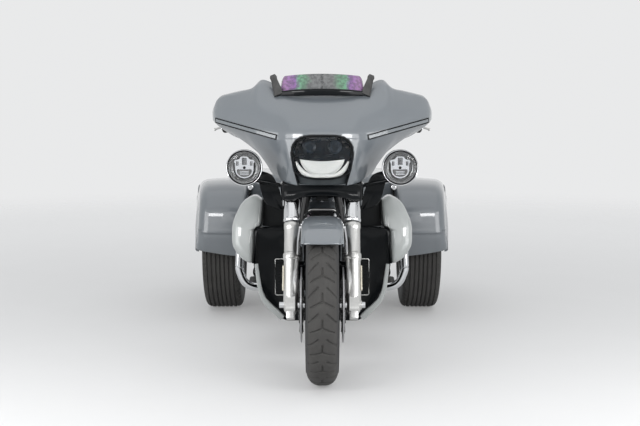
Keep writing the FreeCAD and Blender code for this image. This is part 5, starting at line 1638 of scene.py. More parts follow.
def fenderShell(spec):
    # across each station: inner wall, rounded shoulder, crowned top, round outer edge, then the side down
    # to its lip
    t = np.linspace(0, 1, spec["along"])
    crown = evenly(curve(np.array(fenderCrown) / 1000, 400), spec["along"])
    # a soft ridge across the front face
    above = crown[:, 1] - 0.466
    bell = np.exp(np.where(above > 0, -above / 0.030, -(above / 0.007) ** 2))
    crown[:, 0] -= spec["ridge"] * bell * (crown[:, 0] < 0.4)
    along = np.gradient(crown, axis=0)
    along /= np.linalg.norm(along, axis=1, keepdims=True)
    inward = np.stack((along[:, 1], -along[:, 0]), axis=1)
    a = np.interp(t, (0.0, 0.16, 0.50, 0.80, 1.0), np.radians((176, 180, 96, 30, 12)))
    lip = wheelMiddle + spec["arch"] * np.stack((np.cos(a), np.sin(a)), axis=1)
    turn = np.linspace(0, math.pi / 2, 9)
    stations = np.array(fenderWide).T / 1000
    low = np.interp(crown[:, 0], *stations)
    lean = low - spec["lean"] * np.clip((crown[:, 1] - 0.35) / 0.35, 0, 1)
    # near the top of the arch the side is short: the round edge and the flare shrink with it
    tall = np.linalg.norm(crown - lip, axis=1)
    roll = np.minimum(spec["roll"], 0.5 * tall)
    flare = np.clip((tall - roll) / 0.16, 0, 1)
    rows = []
    for k in (0.65, 0.3, 0.0):
        point = lip + (wheelMiddle - lip) * k
        rows.append(np.column_stack((np.full(len(t), spec["inner"]), point)))
    for q in turn[1:]:
        rows.append(np.column_stack((spec["inner"] + 0.022 * (1 - np.cos(q)) * np.ones(len(t)),
                                     crown + inward * 0.022 * (1 - np.sin(q)))))
    for k in np.linspace(0.12, 0.88, 9):
        x = spec["inner"] + 0.022 + (lean - spec["roll"] - spec["inner"] - 0.022) * k
        rows.append(np.column_stack((x, crown - inward * 0.006 * math.sin(math.pi * k))))
    for q in turn:
        rows.append(np.column_stack((lean - spec["roll"] * (1 - np.sin(q)),
                                     crown + inward * (roll * (1 - np.cos(q)))[:, None])))
    start = crown + inward * roll[:, None]
    for k in np.linspace(0.1, 1.0, 14):
        point = start + (lip - start) * k
        side = lean + (np.interp(point[:, 0], *stations) - lean) * flare * k
        x = side + 0.004 * math.sin(math.pi * k) * flare
        rows.append(np.column_stack((x, point)))
    for out, k in ((-0.002, 0.006), (-0.008, 0.012), (-0.014, 0.010)):
        point = lip + (wheelMiddle - lip) * k
        rows.append(np.column_stack((side + out, point)))
    points = np.stack(rows, axis=1)
    foot = np.clip((0.44 - points[..., 2]) / 0.10, 0, 1) * np.clip((0.36 - points[..., 1]) / 0.06, 0, 1)
    points[..., 2] += spec["slope"] * foot * (points[..., 0] - spec["inner"]) / 0.25
    return grid(points)


for side, name in ((1, "left"), (-1, "right")):
    piece(name + "RearFender", onSide(side, fenderShell(rearFenderSpec)), paint, "chassis",
          [name + "_rear_fender"], sheet=True, thick=rearFenderSpec["wall"], sharp=30)


# rear wheels

rearSpec = {"track": 0.531, "radius": 0.325, "half": 0.102, "bead": 0.193, "around": 360}
# circumferential grooves: place across the tread and half width
grooveTable = ((0.0, 0.0036), (0.022, 0.0036), (-0.022, 0.0036), (0.045, 0.0042), (-0.045, 0.0042), (0.068, 0.0030),
               (-0.068, 0.0030))


def rearTyre(spec, side):
    # a broad flat tread with straight grooves, and square shoulders with short notches
    r, half, bead = spec["radius"], spec["half"], spec["bead"]
    profile = [(-0.074, bead), (-0.086, bead + 0.006), (-half + 0.004, bead + 0.040), (-half, bead + 0.070),
               (-half + 0.004, r - 0.026), (-half + 0.012, r - 0.010), (-half + 0.030, r - 0.0015),
               (-0.050, r - 0.0003), (0.0, r)]
    left = rounded(profile, 0.016, 6)
    wall, crown = left[:-2], np.linspace(-half + 0.034, half - 0.034, 91)
    wall = wall[wall[:, 0] < -half + 0.033]
    tread = np.column_stack((crown, r - 0.0025 * (crown / half) ** 4))
    section = np.concatenate((wall, tread, wall[::-1] * (-1, 1)))
    a = np.linspace(0, 2 * math.pi, spec["around"], endpoint=False)[:, None]
    w = np.broadcast_to(section[:, 0], (len(a), len(section)))
    out = np.broadcast_to(section[:, 1], w.shape)
    depth = np.zeros_like(w)
    for place, width in grooveTable:
        depth = np.maximum(depth, np.clip(1.5 - np.abs(w - place) / width, 0, 1))
    notch = np.clip(1.6 - np.abs(np.mod(a * 60 / (2 * math.pi), 1) - 0.5) / 0.10, 0, 1)
    shoulder = np.clip((np.abs(w) - 0.074) / 0.004, 0, 1) * np.clip((out - r + 0.030) / 0.01, 0, 1)
    depth = np.maximum(depth, notch * shoulder * 0.7) * (out > r - 0.034)
    reach = out - depth * 0.0075
    points = np.stack((w, reach * np.cos(a), reach * np.sin(a)), axis=-1)
    return grid(points + rearAxle + (side * spec["track"], 0, 0), closeU=True)


def rearRimParts(spec):
    # the left wheel's barrel, nine spokes, hub cap and ring as one, then its nuts, disc and carrier
    centre = rearAxle + (spec["track"], 0, 0)
    b = spec["bead"]
    loop = rounded([(-0.088, b + 0.006), (-0.084, b), (-0.070, b - 0.004), (-0.058, b - 0.018), (0.058, b - 0.018),
                    (0.070, b - 0.004), (0.084, b), (0.088, b + 0.006), (0.092, b + 0.004), (0.088, b - 0.008),
                    (0.064, b - 0.025), (-0.064, b - 0.025), (-0.088, b - 0.008), (-0.092, b + 0.004),
                    (-0.088, b + 0.006)], 0.003, 3)
    barrel = lathed(loop, centre, count=96)
    t = np.linspace(0, 1, 16)
    oval = roundBox(1, 1, 0.5, 5)
    out = 0.050 + (b - 0.022 - 0.050) * t
    deep, wide = 0.009 + 0.005 * (1 - t), 0.0135 + 0.0075 * np.abs(2 * t - 1) ** 2
    x = (0.046 + 0.016 * np.sin(math.pi * t * 0.9))[:, None] + oval[None, :, 0] * deep[:, None]
    y = oval[None, :, 1] * wide[:, None]
    spoke = grid(np.stack((x, y, np.broadcast_to(out[:, None], x.shape)), axis=-1) + centre, closeV=True)
    spokes = copiesAround(spoke, 9, centre=centre)
    face = lathed(rounded([(0.020, 0.0), (0.020, 0.064), (0.052, 0.066), (0.062, 0.056), (0.064, 0.038),
                           (0.076, 0.034), (0.080, 0.028), (0.081, 0.0)], 0.003), centre, count=64)
    ringRim = lathed(rounded([(0.034, b - 0.020), (0.052, b - 0.036), (0.062, b - 0.030), (0.064, b - 0.020),
                              (0.034, b - 0.020)], 0.003), centre, count=96)
    nut = lathed([(0.060, 0.0), (0.060, 0.0085), (0.072, 0.0085), (0.075, 0.006), (0.0755, 0.0)],
                 centre + (0, 0.049, 0), count=6)
    nuts = copiesAround(nut, 5, centre=centre)
    discShape = lathed(rounded([(-0.030, 0.070), (-0.030, 0.148), (-0.022, 0.150), (-0.020, 0.148), (-0.020, 0.070),
                                (-0.030, 0.070)], 0.001), centre, count=96)
    carrier = lathed(rounded([(-0.040, 0.020), (-0.040, 0.075), (-0.016, 0.078), (0.022, 0.050)], 0.003),
                     centre, count=48)
    return gather(barrel, spokes, face, ringRim), nuts, discShape, carrier


for side, name in ((1, "left"), (-1, "right")):
    body = name + "_rear_wheel"
    rimShape, nuts, discShape, carrier = [onSide(side, shape) for shape in rearRimParts(rearSpec)]
    piece(name + "RearTyre", rearTyre(rearSpec, side), rearRubber, body, [name + "_rear_tyre"], sharp=35)
    piece(name + "RearRim", rimShape, wheel, body, [name + "_rear_rim"])
    piece(name + "RearNuts", nuts, chrome, body)
    piece(name + "RearDisc", discShape, aluminium, body)
    piece(name + "RearCarrier", carrier, wrinkle, body, sheet=True, thick=0.002)
print("rear fenders and wheels made")


# trunk

trunkSpec = {"half": 0.384, "floor": 0.430, "front": 0.520, "back": 1.310, "corner": 0.028, "wall": 0.005}


def trunkShell(spec):
    # a box with rounded edges whose lid domes a little and falls towards the back; open behind for the door
    y = np.concatenate(([spec["front"]], spec["front"] + 0.004 + 0.02 * np.linspace(0, 1, 5) ** 1.5,
                        np.linspace(0.56, spec["back"], 40)))
    top = np.interp(y, (0.52, 0.56, 1.10, 1.20, 1.31), (0.728, 0.7375, 0.7375, 0.734, 0.722))
    squeeze = np.clip((y - spec["front"]) / 0.026, 0, 1) ** 0.5
    rows = []
    for centreY, high, k in zip(y, top, squeeze):
        half, middle = spec["half"] - 0.014 * (1 - k), (high + spec["floor"]) / 2
        box = roundBox(half, (high - spec["floor"]) / 2 - 0.014 * (1 - k), spec["corner"], 8) + (0, middle)
        rows.append(np.insert(box, 1, centreY, axis=1))
    first = np.broadcast_to(rows[0].mean(0), rows[0].shape)
    return grid(np.stack([first] + rows), closeV=True)


def lidSeam():
    # the joint between lid and tub, as a thin dark bead along each side
    y = np.linspace(0.56, 1.305, 40)
    line = np.column_stack((np.full(40, 0.3845), y, np.full(40, 0.664)))
    return bothSides(swept(line, roundBox(0.0016, 0.0028, 0.001, 3)))


piece("trunkShell", trunkShell(trunkSpec), paint, "chassis", ["trunk_tub"], sheet=True,
      thick=trunkSpec["wall"], sharp=35)
piece("trunkSeam", lidSeam(), rubber)


def trunkFittings():
    # four low sockets for a rack and a ribbed mat inside
    socket = lathed(rounded([(0.7375, 0.0045), (0.7375, 0.014), (0.7405, 0.0125), (0.7412, 0.0075),
                             (0.7385, 0.0045)], 0.001), (0, 0, 0), axis="Z", count=28)
    sockets = copiesAt(socket, [(x, y, 0) for x in (-0.150, 0.150) for y in (0.840, 1.080)])
    mat = plate(roundBox(0.365, 0.370, 0.030, 6) + (0, 0.925), 0.4365, 0.4405, "XY", 0.001)
    ribs = copiesAt(plate(roundBox(0.340, 0.0035, 0.002, 3), 0.4400, 0.4435, "XY", 0.001),
                    [(0, y, 0) for y in np.linspace(0.60, 1.24, 17)])
    return sockets, gather(mat, ribs)


sockets, mat = trunkFittings()
piece("rackSockets", sockets, aluminium, sheet=True, thick=0.001)
piece("trunkMat", mat, rubber)

doorCorners = np.array(((-376, 456), (376, 456), (361, 715), (-361, 715))) / 1000
doorMiddle = np.array((0.0, 0.585))


def doorSkin():
    # a framed panel: rolled rim, a step in, and a recess for the plate
    outline = polarOutline(doorCorners, doorMiddle, 240, 0.030)
    bay = polarOutline(np.array(((-132, 484), (132, 484), (132, 628), (-132, 628))) / 1000,
                       doorMiddle - (0, 0.029), 240, 0.016)
    inner = outline * 0.90 + doorMiddle * 0.10
    rows = [(0.0, 1.3135), (0.985, 1.3135), (1.0, 1.3165), (1.0, 1.3245), (0.994, 1.3290), (0.982, 1.3305),
            (1.02, 1.3305), (1.0, 1.3285), (1.10, 1.3290), (1.03, 1.3290), (1.0, 1.3270),
            (0.99, 1.3255), (0.0, 1.3255)]
    return stacked(np.stack([outline] * 6 + [inner] * 2 + [bay] * 5), rows, doorMiddle, "XZ")


def doorFittings():
    # blank plate, its frame with four bolts and a latch with a key barrel, three hinges, two small lamps
    blank = plate(roundBox(0.090, 0.052, 0.008, 6) + (0, 0.556), 1.3310, 1.3328, "XZ", 0.0006)
    frame = swept(np.insert(roundBox(0.0925, 0.0545, 0.009, 8), 1, 1.3318, axis=1)[np.r_[0:32, 0]] + (0, 0, 0.556),
                  roundBox(0.0022, 0.0026, 0.0015, 3), up=(0, 1, 0), ends=False)
    bolt = lathed(rounded([(1.330, 0.0035), (1.330, 0.0062), (1.3338, 0.0055), (1.3338, 0.0035)], 0.001),
                  (0, 0, 0), axis="Y", count=20)
    bolts = copiesAt(bolt, [(x, 0, z) for x in (-0.073, 0.073) for z in (0.521, 0.591)])
    latch = gather(plate(roundBox(0.048, 0.014, 0.010, 6) + (0, 0.672), 1.328, 1.3345, "XZ", 0.003),
                   lathed(rounded([(1.333, 0.009), (1.3355, 0.009), (1.3365, 0.006), (1.3350, 0.0)], 0.001),
                          (0, 0, 0.672), axis="Y", count=28))
    hinge = lathed(rounded([(-0.030, 0.0), (-0.030, 0.0058), (0.030, 0.0058), (0.030, 0.0)], 0.001),
                   (0, 0, 0), count=20)
    hinges = copiesAt(hinge, [(x, 1.322, 0.452) for x in (-0.26, 0.0, 0.26)])
    lamps = copiesAt(plate(roundBox(0.022, 0.006, 0.003, 4) + (0, 0.637), 1.3285, 1.3335, "XZ", 0.0015),
                     [(-0.05, 0, 0), (0.05, 0, 0)])
    return blank, gather(frame, bolts, latch), hinges, lamps


blank, brightwork, hinges, lamps = doorFittings()
piece("doorSkin", doorSkin(), paint, "trunk_door", ["trunk_door"], sharp=30)
piece("doorPlate", blank, aluminium, "trunk_door")
piece("doorBrightwork", brightwork, chrome, "trunk_door")
piece("doorHinges", hinges, enamel, "trunk_door")
piece("doorLamps", lamps, lens, "trunk_door")


# rear bumper and lamps

def bumperBar():
    # a bar that bows back in the middle, full in section, pinched at its ends, with a rubber strip let in
    t = np.linspace(-1, 1, 61)
    line = np.column_stack((t * 0.452, 1.302 - 0.012 * t ** 2, np.full(61, 0.397)))
    line[:, 2] += 0.004 * t ** 2
    body = swept(line, roundBox(0.026, 0.0275, 0.014, 7), scale=(1 - np.abs(t) ** 8) ** 0.5 * 0.25 + 0.75)
    band = swept(line[4:-4] + (0, 0.0255, 0), roundBox(0.0040, 0.0095, 0.003, 4))
    stays = gather(*[swept(curve(((x, 1.285, 0.400), (x, 1.220, 0.410), (x * 0.96, 1.150, 0.436)), 14),
                           roundBox(0.022, 0.008, 0.004, 4)) for x in (-0.26, 0.26)])
    return body, band, stays


body, band, stays = bumperBar()
piece("bumperBar", body, paint, "chassis", ["rear_bumper"])
piece("bumperBand", band, rubber)
piece("bumperStays", stays, enamel)

lampCorners = np.array(((436, 524), (614, 524), (605, 578), (436, 588))) / 1000
tailMiddle = np.array((0.522, 0.553))


def tailLamp():
    # a bright bezel standing off the fender's tail round a domed red lens with a pale middle
    outline = polarOutline(lampCorners, tailMiddle, 120, 0.014)
    bezel = ((1.0, 1.2400), (1.0, 1.2770), (0.97, 1.2830), (0.91, 1.2835), (0.89, 1.2790), (0.89, 1.2500))
    glass = ((0.89, 1.2600), (0.885, 1.2800), (0.85, 1.2845), (0.60, 1.2880), (0.30, 1.2893), (0.0, 1.2896))
    clear = ((0.30, 1.2880), (0.29, 1.2905), (0.0, 1.2912))
    return [stacked(outline, rows, tailMiddle, "XZ") for rows in (bezel, glass, clear)]


bezels, redGlass, clearGlass = [bothSides(shape) for shape in tailLamp()]
piece("tailBezels", bezels, chrome, "chassis", ["tail_lamps"], sheet=True, thick=0.002)
piece("tailGlass", redGlass, red, sharp=50)
piece("tailMiddles", clearGlass, guide, sharp=50)
print("trunk, bumper and tail lamps made")


# engine

crank = np.array((0.0, -0.200, 0.345))


def boltHeads(places, radius, start, rise, axis="X"):
    # six-sided heads standing on a face: (across, along, up) places
    head = lathed([(start, 0.0), (start, radius), (start + rise * 0.8, radius), (start + rise, radius * 0.8),
                   (start + rise, 0.0)], (0, 0, 0), axis=axis, count=6)
    return copiesAt(head, places)


def rimPlaces(outline, middle, share, step):
    # every so many points of an outline, shrunk towards its middle, as places on the side of the engine
    return [(0, y, z) for y, z in (middle + (outline - middle) * share)[::step]]


def closedPoly(corners, radius, count=160):
    # a closed polygon in millimetres with rounded corners, read round its middle
    flat = np.array(corners, float) / 1000
    return polarOutline(flat, flat.mean(0), count, radius), flat.mean(0)


caseOutline, caseMiddle = closedPoly(((-398, 238), (-240, 214), (40, 214), (176, 240), (186, 400), (60, 438),
                                      (-70, 430), (-130, 470), (-270, 470), (-330, 440), (-402, 360)), 0.030, 220)
caseRows = ((0.0, -0.104), (0.93, -0.104), (0.975, -0.098), (0.985, -0.060), (1.0, -0.052), (1.0, 0.052),
            (0.985, 0.060), (0.975, 0.098), (0.93, 0.104), (0.0, 0.104))
casePlaces = rimPlaces(caseOutline, caseMiddle, 0.955, 11)
caseBolts = gather(boltHeads(casePlaces, 0.0058, 0.104, 0.006), boltHeads(casePlaces, 0.0058, -0.110, 0.006))
sumpFins = copiesAt(plate(roundBox(0.090, 0.0028, 0.002, 3), 0.205, 0.222, "XY", 0.001),
                    [(0, y, 0) for y in np.linspace(-0.22, 0.02, 13)])
piece("engineCases", gather(stacked(caseOutline, caseRows, caseMiddle), sumpFins), cast, "chassis",
      ["engine_cases"], sharp=32)
piece("caseBolts", caseBolts, aluminium, sharp=35)


def barrel():
    # upright, its foot at the crank: nine round fins on the sleeve and five square ones on the head
    z = np.concatenate([[0.131 + 0.0135 * i + d for d in (0, 0.0022, 0.0030, 0.0052)] for i in range(9)])
    r = np.tile((0.060, 0.077, 0.077, 0.060), 9)
    sleeve = lathed(np.concatenate(([(0.120, 0.058)], np.column_stack((z, r)), [(0.2475, 0.062)])), (0, 0, 0),
                    axis="Z", count=72)
    fins = []
    for i in range(5):
        grow = 1.0 - 0.03 * abs(i - 2)
        fins.append(plate(roundBox(0.076 * grow, 0.066 * grow, 0.020, 7), 0.2475 + 0.0105 * i,
                          0.2525 + 0.0105 * i, "XY", 0.0012))
    core = plate(roundBox(0.066, 0.056, 0.018, 7), 0.246, 0.301, "XY", 0.001)
    return gather(sleeve, core, *fins)


def rockerCover():
    # a chrome box with a crowned top, a flange and six bolts
    rows = ((1.03, 0.299), (1.03, 0.304), (1.0, 0.3055), (0.99, 0.320), (0.95, 0.3285), (0.86, 0.3320),
            (0.50, 0.3345), (0.0, 0.3350))
    bolts = boltHeads([(x, y, 0) for x in (-0.052, 0.0, 0.052) for y in (-0.042, 0.042)], 0.0050, 0.3270,
                      0.0085, axis="Z")
    return gather(stacked(roundBox(0.067, 0.053, 0.018, 8), rows, (0, 0), "XY"), bolts)


def onBarrels(shape):
    # one copy leaning forward and one leaning back, both standing on the crank
    return moved(copiesAround(shape, np.radians((22.5, -22.5)), axis=(1, 0, 0)), crank)


piece("engineBarrels", onBarrels(barrel()), wrinkle, "chassis", ["engine_cylinders"], sharp=30)
piece("rockerCovers", onBarrels(rockerCover()), chrome, sharp=32)

pushTube = bentTube(((-0.118, 0.020, 0.060), (-0.112, 0.018, 0.120), (-0.094, 0.012, 0.180),
                     (-0.082, 0.010, 0.262)), 0.0095, 0.03, 20)
pushPair = gather(pushTube, moved(pushTube, (0, -0.032, 0)))
cups = gather(*[lathed(rounded([(0.060, 0.0), (0.060, 0.015), (0.074, 0.015), (0.078, 0.010)], 0.002),
                       (-0.117, y, 0), axis="Z", count=24) for y in (0.020, -0.012)])
piece("pushrodTubes", onBarrels(gather(pushPair, cups)), chrome)

primaryOutline, primaryMiddle = closedPoly(((-330, 262), (-330, 420), (120, 410), (150, 250)), 0.062, 200)
primaryRows = ((1.0, 0.104), (1.0, 0.116), (0.985, 0.1195), (0.97, 0.1215), (0.95, 0.150), (0.925, 0.1620),
               (0.88, 0.1680), (0.60, 0.1710), (0.0, 0.1720))
derby = lathed(rounded([(0.168, 0.082), (0.1735, 0.080), (0.1765, 0.070), (0.1775, 0.040), (0.178, 0.0)], 0.003),
               (0, 0.030, 0.330), count=72)
inspection = stacked(roundBox(0.075, 0.034, 0.032, 8) + (-0.190, 0.338),
                     ((1.0, 0.1690), (0.99, 0.1745), (0.94, 0.1768), (0.0, 0.178)), (-0.190, 0.338))
primaryBolts = boltHeads(rimPlaces(primaryOutline, primaryMiddle, 0.985, 14), 0.0048, 0.119, 0.006)
camOutline, camMiddle = closedPoly(((-300, 262), (-300, 400), (-200, 440), (-100, 400), (-90, 262)), 0.045, 160)
camRows = ((1.0, -0.104), (1.0, -0.128), (0.985, -0.136), (0.94, -0.143), (0.86, -0.1465), (0.50, -0.1490),
           (0.0, -0.1500))
camBolts = boltHeads(rimPlaces(camOutline, camMiddle, 0.93, 16), 0.0050, -0.1485, 0.006)
camCap = lathed(rounded([(-0.1480, 0.040), (-0.1530, 0.038), (-0.1550, 0.030), (-0.1555, 0.0)], 0.003),
                (0, -0.196, 0.332), count=56)
covers = gather(stacked(primaryOutline, primaryRows, primaryMiddle), stacked(camOutline, camRows, camMiddle))
piece("engineCovers", covers, chrome, "chassis", ["engine_covers"], sharp=35)
piece("coverInsets", gather(derby, inspection, camCap), wrinkle, sharp=35)
piece("coverBolts", gather(primaryBolts, camBolts), aluminium, sharp=35)

cleanerCentre = (0, -0.200, 0.590)
cleanerBack = lathed(rounded([(-0.098, 0.0), (-0.098, 0.062), (-0.112, 0.080), (-0.128, 0.083), (-0.132, 0.080),
                              (-0.132, 0.060)], 0.004), cleanerCentre, count=72)
pleats = np.column_stack((np.linspace(-0.132, -0.164, 33),
                          0.0745 + 0.0022 * np.sign(np.sin(np.linspace(0, 16 * math.pi, 33) + 0.3))))
cleanerCover = lathed(rounded([(-0.164, 0.066), (-0.163, 0.0825), (-0.172, 0.084), (-0.182, 0.079), (-0.187, 0.062),
                               (-0.186, 0.044), (-0.1885, 0.040), (-0.190, 0.0)], 0.003), cleanerCentre, count=72)
piece("cleanerBack", gather(cleanerBack, lathed(pleats, cleanerCentre, count=72)), wrinkle, sheet=True,
      thick=0.001, sharp=30)
piece("cleanerCover", gather(cleanerCover, boltHeads([(0, -0.200, 0.590)], 0.008, -0.194, 0.005)), chrome,
      "chassis", ["air_cleaner"], sheet=True, sharp=35)
intake = bentTube(((-0.100, -0.200, 0.590), (-0.060, -0.200, 0.586), (0.0, -0.200, 0.560), (0.0, -0.200, 0.500)),
                  0.026, 0.03, 28, up=(0, 1, 0))
piece("intakePipe", intake, cast)
print("engine made")


# exhaust

def heatedChrome():
    # straw and blue heat colours that fade away from the exhaust ports
    f = Finish("heatedChrome")
    x, y, z = f.split(f.place((0, -0.20, 0.60)))
    far = ((abs(y) - 0.185) ** 2 + z * z + (x + 0.07) ** 2) ** 0.5
    smear = f.noise(24, detail=5.0)
    where = far * 4.2 + (smear - 0.5) * 0.12
    tint = f.node("ValToRGB", {"stops": ((0.18, (0.20, 0.17, 0.20)), (0.34, (0.24, 0.26, 0.40)),
                                         (0.48, (0.50, 0.40, 0.26)), (0.62, (0.68, 0.62, 0.50)),
                                         (0.85, (0.70, 0.71, 0.73)))}, {0: where})
    return f.shader(tint, 0.07 + smear * 0.14, 1.0)


heated = heatedChrome()
pipeRoutes = (
    ((-70, -372, 604), (-150, -438, 590), (-178, -470, 470), (-176, -430, 250), (-188, -200, 232),
     (-215, 60, 232), (-318, 196, 232), (-318, 268, 232)),
    ((-70, -30, 604), (-150, 36, 590), (-186, 60, 420), (-200, 40, 300), (-206, 20, 236)),
    ((-206, 20, 226), (-128, 60, 136), (128, 60, 136), (250, 130, 190), (318, 200, 232), (318, 268, 232)),
)
pipes = gather(*[bentTube(np.array(route) / 1000, 0.021, 0.040, 24) for route in pipeRoutes])
collarPlaces = ((-86, -384, 601), (-86, -19, 601))
portNuts = gather(*[lathed(rounded([(-0.006, 0.020), (-0.006, 0.030), (0.006, 0.030), (0.006, 0.020)], 0.002),
                           np.array(p) / 1000, count=36) for p in collarPlaces])
piece("exhaustPipes", pipes, heated, "chassis", ["exhaust_pipes"])
piece("portNuts", portNuts, aluminium, sheet=True, thick=0.001)


def heatShield(start, stop, rows=40, columns=22):
    # a half sleeve with raised ribs over the long run of a pipe, its points read as an open sheet
    line = evenly(np.array((start, stop), float) / 1000, rows)
    a = np.linspace(math.radians(-70), math.radians(110), columns)
    section = np.stack((-np.cos(a), np.sin(a)), axis=1) * 0.0265
    swell = 1 + 0.02 * (np.abs(np.sin(np.linspace(0, 9 * math.pi, rows))) > 0.93)
    points = swept(line, section, scale=swell, ends=False)[0]
    return grid(points.reshape(rows, columns, 3))


piece("heatShield", heatShield((-188, -190, 232), (-212, 40, 232)), chrome, sheet=True, thick=0.0015)

mufflerProfile = ((262, 24), (268, 25), (372, 45.5), (384, 46), (700, 46), (704, 47.2), (716, 47.2), (720, 46),
                  (1150, 46), (1154, 47), (1168, 47), (1172, 46), (1232, 45.5), (1284, 39), (1292, 37.5),
                  (1292, 33.5), (1284, 31.5), (1210, 31), (1208, 0))
muffler = lathed(rounded(np.array(mufflerProfile) / 1000, 0.004, 3), (0.318, 0, 0.232), axis="Y", count=72)
clamp = lathed(rounded([(0.252, 0.0215), (0.252, 0.027), (0.270, 0.027), (0.270, 0.0215)], 0.002),
               (0.318, 0, 0.232), axis="Y", count=36)
hanger = swept(curve(((0.318, 0.47, 0.276), (0.300, 0.47, 0.300), (0.262, 0.47, 0.322), (0.205, 0.47, 0.340)), 12),
               roundBox(0.014, 0.004, 0.003, 4), up=(0, 1, 0))
baffle = lathed([(1.212, 0.0305), (1.2125, 0.012), (1.2125, 0.0)], (0.318, 0, 0.232), axis="Y", count=40)
piece("mufflers", bothSides(muffler), chrome, "chassis", ["mufflers"], sheet=True)
piece("mufflerClamps", bothSides(gather(clamp, hanger)), enamel, sheet=True, thick=0.001)
piece("mufflerBaffles", bothSides(baffle), wrinkle, sheet=True)


# footboards and pedals

def footboard(corners, low, high, ribs):
    # a chrome tray with rolled edge and a rubber mat whose ribs run across
    outline, middle = closedPoly(corners, 0.034, 140)
    trayRows = ((0.0, low), (0.94, low), (1.0, low + 0.003), (1.0, high - 0.001), (0.985, high),
                (0.955, high - 0.001), (0.94, high - 0.004), (0.0, high - 0.004))
    matRows = ((0.935, high - 0.005), (0.93, high - 0.001), (0.90, high), (0.0, high))
    tray, mat = [stacked(outline, rows, middle, "XY") for rows in (trayRows, matRows)]
    x0, x1 = outline[:, 0].min() + 0.020, outline[:, 0].max() - 0.020
    y0, y1 = outline[:, 1].min() + 0.030, outline[:, 1].max() - 0.030
    rib = plate(roundBox((x1 - x0) / 2, 0.0035, 0.002, 3) + ((x0 + x1) / 2, 0), high - 0.001,
                high + 0.0025, "XY", 0.001)
    return tray, gather(mat, copiesAt(rib, [(0, y, 0) for y in np.linspace(y0, y1, ribs)]))


riderTray, riderMat = footboard(((206, -408), (340, -402), (345, -112), (206, -102)), 0.276, 0.2895, 13)
rearTray, rearMat = footboard(((214, 62), (322, 64), (322, 236), (214, 239)), 0.340, 0.3515, 8)
boardArms = gather(*[bentTube(np.array(route) / 1000, 0.009, 0.02, 16)
                     for route in (((150, 166, 334), (190, 166, 342), (232, 166, 343)),
                                   ((128, -330, 226), (160, -330, 262), (230, -330, 272), (300, -330, 272)),
                                   ((128, -170, 200), (160, -170, 262), (230, -170, 272), (300, -170, 272)))])
piece("boardTrays", bothSides(gather(riderTray, rearTray)), chrome, "chassis", ["floorboards"], sharp=35)
piece("boardMats", bothSides(gather(riderMat, rearMat)), rubber, sharp=35)
piece("boardArms", bothSides(boardArms), enamel)

brakePedal = bentTube(np.array(((-204, -330, 306), (-240, -400, 312), (-252, -452, 352))) / 1000, 0.008, 0.020, 18)
brakePad = stacked(roundBox(0.026, 0.013, 0.006, 5) + (-0.251, -0.450),
                   ((0.0, 0.350), (0.95, 0.350), (1.0, 0.352), (1.0, 0.360), (0.93, 0.362), (0.0, 0.362)),
                   (-0.251, -0.450), "XY")
shiftLever = bentTube(np.array(((204, -300, 310), (244, -400, 316), (258, -446, 350))) / 1000, 0.007, 0.020, 18)
shiftPeg = lathed(rounded([(0.240, 0.0), (0.240, 0.0095), (0.244, 0.011), (0.280, 0.011),
                           (0.284, 0.0085), (0.284, 0.0)], 0.002), (0, -0.446, 0.352), count=28)
pedalHubs = gather(lathed([(-0.212, 0.0), (-0.212, 0.014), (-0.196, 0.014), (-0.196, 0.0)],
                          (0, -0.330, 0.306), count=24),
                   lathed([(0.196, 0.0), (0.196, 0.013), (0.212, 0.013), (0.212, 0.0)],
                          (0, -0.300, 0.310), count=24))
piece("pedalArms", gather(brakePedal, shiftLever, pedalHubs), chrome, "chassis", ["foot_controls"])
piece("pedalRubbers", gather(brakePad, shiftPeg), rubber)


# rear axle, belt and suspension

def beltLoop(front, back, x, wide, thick, teeth):
    # both wraps and the two straight runs as one closed line, toothed on its inner face
    a, b = np.array(front[:2]) / 1000, np.array(back[:2]) / 1000
    ra, rb = front[2] / 1000, back[2] / 1000
    far = np.linalg.norm(b - a)
    tilt = math.atan2(*(b - a)[::-1])
    spread = math.acos((ra - rb) / far)
    angles = np.linspace(spread, 2 * math.pi - spread, 60) + tilt
    one = a + ra * np.stack((np.cos(angles), np.sin(angles)), axis=1)
    angles = np.linspace(-spread, spread, 90) + tilt
    two = b + rb * np.stack((np.cos(angles), np.sin(angles)), axis=1)
    line = evenly(np.concatenate((one, two, one[:1])), teeth * 4 + 1)[:-1]
    run = np.roll(line, -1, 0) - np.roll(line, 1, 0)
    run /= np.linalg.norm(run, axis=1, keepdims=True)
    out = np.stack((run[:, 1], -run[:, 0]), axis=1)
    out *= np.sign(((line - line.mean(0)) * out).sum(1).mean())
    dip = np.tile((0.0, 0.0, 1.6, 1.6), teeth)[:, None] / 1000
    rows = []
    for side, level in ((0.0, thick), (wide, thick), (wide, dip), (0.0, dip)):
        flat = line + out * level
        rows.append(np.column_stack((np.full(len(line), x + side), flat)))
    return grid(np.stack(rows, axis=1), closeU=True, closeV=True)


piece("driveBelt", beltLoop((110, 334, 48.5), (654, 325, 87.0), 0.0625, 0.025, 0.0062, 130), rubber,
      "chassis", ["drive_belt"], sharp=35)

